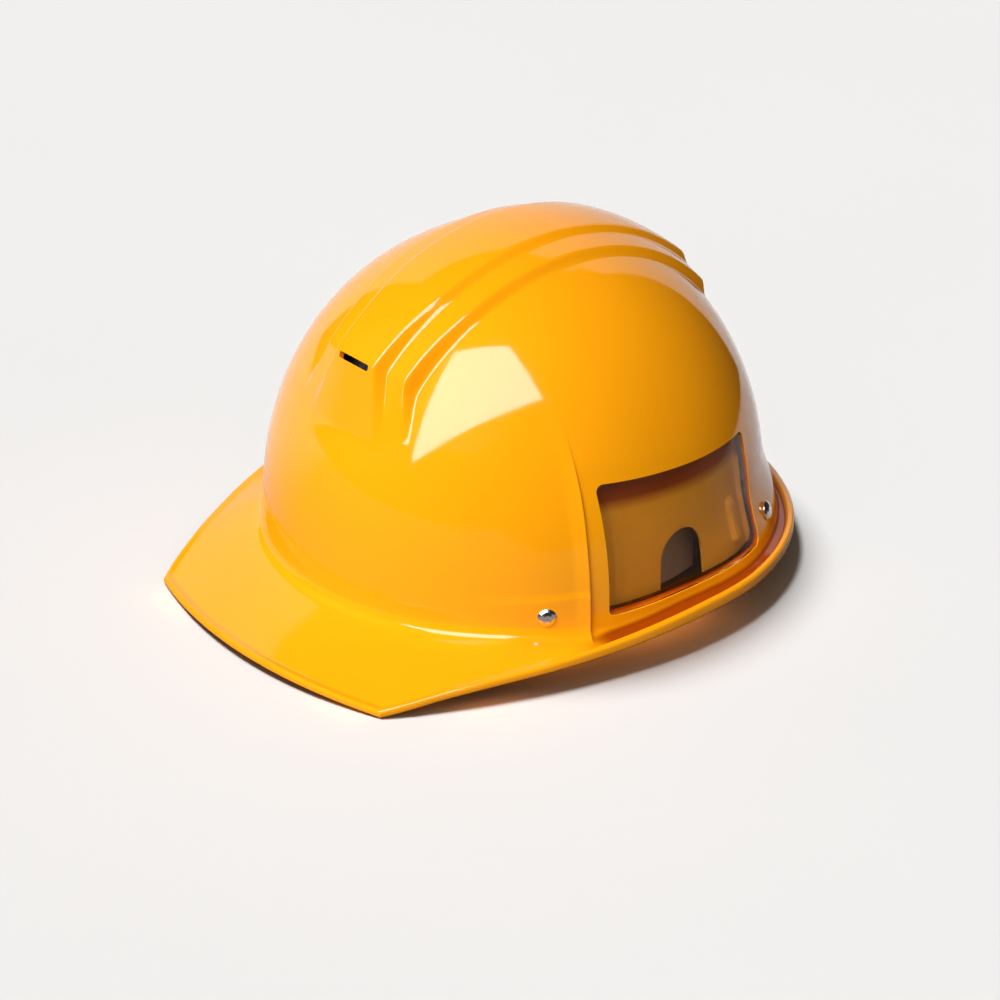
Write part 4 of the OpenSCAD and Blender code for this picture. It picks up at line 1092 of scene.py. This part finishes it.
def make_floor():
    """A pale floor, darker for the light that it throws back on the object."""
    mesh = bpy.data.meshes.new("floor")
    s = FLOOR_HALF
    mesh.from_pydata([(-s, -s, 0), (s, -s, 0), (s, s, 0), (-s, s, 0)], [], [(0, 1, 2, 3)])
    floor = bpy.data.objects.new("floor", mesh)
    bpy.context.scene.collection.objects.link(floor)
    p = Paint("pale_floor", Roughness=0.6, Specular_IOR_Level=0.0)
    seen = p.ramp(p.noise(3, 2), [(0.3, (0.69, 0.70, 0.705)), (0.7, (0.70, 0.71, 0.715))])
    path = p.add("ShaderNodeLightPath")
    at = p.add("ShaderNodeSeparateXYZ", Vector=p.coord).outputs
    before = p.grade(p.math("SUBTRACT", at[0], at[1]), -0.16, 0.03, 0.0, 1.0)
    gloss = p.math("MULTIPLY", path.outputs["Is Glossy Ray"], before)
    seen = p.tinted(path.outputs["Is Diffuse Ray"], seen, (0.12, 0.1, 0.08, 1))
    p.set(Base_Color=p.tinted(gloss, seen, (0.22, 0.21, 0.2, 1)))
    dress(floor, p.mat)
    return floor


def sun(name, azimuth, height, level, spread, colour=(1, 1, 1)):
    """A far lamp that gives a facing surface this level of light; gloss doesn't show it."""
    data = bpy.data.lights.new(name, "SUN")
    data.energy = level * math.pi
    data.angle = math.radians(spread)
    data.color = colour
    obj = bpy.data.objects.new(name, data)
    bpy.context.scene.collection.objects.link(obj)
    a, e = math.radians(azimuth), math.radians(height)
    d = Vector((math.sin(a) * math.cos(e), -math.cos(a) * math.cos(e), math.sin(e)))
    obj.rotation_euler = d.to_track_quat("Z", "Y").to_euler()
    obj.visible_glossy = False
    return obj


def aim(lamp, floor, state):
    """Light linking: a lamp that lights only the floor, or all but the floor."""
    group = bpy.data.collections.new(lamp.name + "_lights")
    group.objects.link(floor)
    group.collection_objects[0].light_linking.link_state = state
    lamp.light_linking.receiver_collection = group


def shade(name, colour, strength):
    """A plain glowing material for the studio round the object."""
    mat = bpy.data.materials.new(name)
    mat.use_nodes = True
    tree = mat.node_tree
    tree.nodes.clear()
    glow = tree.nodes.new("ShaderNodeEmission")
    glow.inputs[0].default_value = (*colour, 1)
    glow.inputs[1].default_value = strength
    out = tree.nodes.new("ShaderNodeOutputMaterial")
    tree.links.new(glow.outputs[0], out.inputs[0])
    return mat


def stage_mesh(name, points, faces, mat):
    mesh = bpy.data.meshes.new(name)
    mesh.from_pydata(points, [], faces)
    obj = bpy.data.objects.new(name, mesh)
    bpy.context.scene.collection.objects.link(obj)
    mesh.materials.append(mat)
    return obj


def make_softbox():
    """A four-cornered lamp over the right front, whose reflection is the bright patch."""
    corners = [(-0.03, -0.56, 1.28), (0.365, -0.156, 1.388), (1.027, -0.174, 1.153),
               (0.141, -1.749, 0.613)]
    box = stage_mesh("softbox", corners, [(0, 1, 2, 3)], shade("lamp_glow", (1, 0.88, 1.0), 12.0))
    box.visible_camera = False
    box.visible_diffuse = False
    box.visible_shadow = False


# The dark room in degrees and metres: round most of the object its cards stand far off, on
# the right and behind its lower cards stand near, and a gap shows the pale backdrop
ROOM_R = 5.0
ROOM_FOOT = 0.012
NEAR_R = 0.34
NEAR_STRETCH = 1.6
NEAR_FOOT = 0.002
NEAR_MIDDLE = (0.06, 0.03)
NEAR_TURNS = (55, 195)
NEAR_ROWS = 8
GAP_TURN = 229
GAP_HALF = 35
GAP_TOP = 50


def room_point(a, e, near):
    """A corner of a card at a heading and a height in degrees."""
    reach, stretch, foot = (NEAR_R, NEAR_STRETCH, NEAR_FOOT) if near else (ROOM_R, 1, ROOM_FOOT)
    x, y = NEAR_MIDDLE if near else (0, 0)
    return (x + reach * cos(e) * sin(a), y - reach * cos(e) * cos(a),
            foot + reach * stretch * sin(e))


def make_dark_room():
    """Dark cards above the floor, seen only in gloss."""
    turns, rises = 72, 18
    points, faces = [], []
    for r in range(rises + 1):
        for k in range(turns):
            a = 360 * k / turns
            near = NEAR_TURNS[0] <= a <= NEAR_TURNS[1] and r <= NEAR_ROWS
            points.append(room_point(a, 90 * r / rises, near))
    for f in grid_faces(rises + 1, turns, round_cols=True):
        r, k = divmod(f[0], turns)
        a, e = 360 * (k + 0.5) / turns, 90 * (r + 0.5) / rises
        if abs((a - GAP_TURN + 180) % 360 - 180) >= GAP_HALF or e >= GAP_TOP:
            faces.append(f)
    room = stage_mesh("dark_cards", points, faces, shade("card_black", (1, 0.95, 0.9), 0.02))
    room.visible_camera = False
    room.visible_diffuse = False
    room.visible_transmission = False
    room.visible_shadow = False


def brim_glow(floor, name, size, energy, place, turned):
    """Warm light on the floor under the brim, as the lit shell throws it there."""
    data = bpy.data.lights.new(name, "AREA")
    data.shape = "RECTANGLE"
    data.size, data.size_y = size
    data.energy = energy
    data.color = (1, 0.3, 0.05)
    lamp = bpy.data.objects.new(name, data)
    bpy.context.scene.collection.objects.link(lamp)
    lamp.location = place
    lamp.rotation_euler = (0, 0, math.radians(turned))
    lamp.visible_glossy = False
    aim(lamp, floor, "INCLUDE")
    lamp.light_linking.blocker_collection = lamp.light_linking.receiver_collection


def make_world():
    """Dim warm light all round, and a pale backdrop where it is seen, mirrored or seen through."""
    world = bpy.data.worlds.new("studio")
    world.use_nodes = True
    tree = world.node_tree
    link = tree.links.new
    ambient = tree.nodes["Background"]
    ambient.inputs[0].default_value = (1, 0.7, 0.5, 1)
    ambient.inputs[1].default_value = 0.07
    backdrop = tree.nodes.new("ShaderNodeBackground")
    backdrop.inputs[0].default_value = (0.88, 0.88, 0.865, 1)
    path = tree.nodes.new("ShaderNodeLightPath")
    seen = path.outputs["Is Camera Ray"]
    for kind in ("Is Glossy Ray", "Is Transmission Ray"):
        either = tree.nodes.new("ShaderNodeMath")
        either.operation = "MAXIMUM"
        link(seen, either.inputs[0])
        link(path.outputs[kind], either.inputs[1])
        seen = either.outputs[0]
    mixed = tree.nodes.new("ShaderNodeMixShader")
    link(seen, mixed.inputs[0])
    link(ambient.outputs[0], mixed.inputs[1])
    link(backdrop.outputs[0], mixed.inputs[2])
    link(mixed.outputs[0], tree.nodes["World Output"].inputs[0])
    bpy.context.scene.world = world


def make_camera():
    """The photograph's camera, as solved from the helmet's outline."""
    camera = bpy.data.cameras.new("camera")
    camera.lens = 143.9
    camera.shift_x = -0.0098
    camera.shift_y = -0.081
    view = bpy.data.objects.new("camera", camera)
    bpy.context.scene.collection.objects.link(view)
    view.location = (1.1132, -0.9898, 0.8704)
    look = Vector((0, 0.0071, 0.06)) - view.location
    view.rotation_euler = look.to_track_quat("-Z", "Y").to_euler()
    bpy.context.scene.camera = view


floor = make_floor()
make_softbox()
make_dark_room()
aim(sun("key", 25, 46, 1.1, 40), floor, "EXCLUDE")
aim(sun("fill", -30, 38, 0.54, 60), floor, "EXCLUDE")
aim(sun("floor_light", -80, 67, 1.23, 20), floor, "INCLUDE")
aim(sun("floor_fill", 60, 65, 0.07, 130, (1, 0.8, 0.6)), floor, "INCLUDE")
brim_glow(floor, "side_glow", (0.02, 0.13), 0.012, (0.094, -0.035, 0.013), -8)
brim_glow(floor, "peak_glow", (0.13, 0.012), 0.007, (0, -0.131, 0.006), 0)
make_world()
make_camera()
bpy.context.scene.view_settings.view_transform = "Standard"
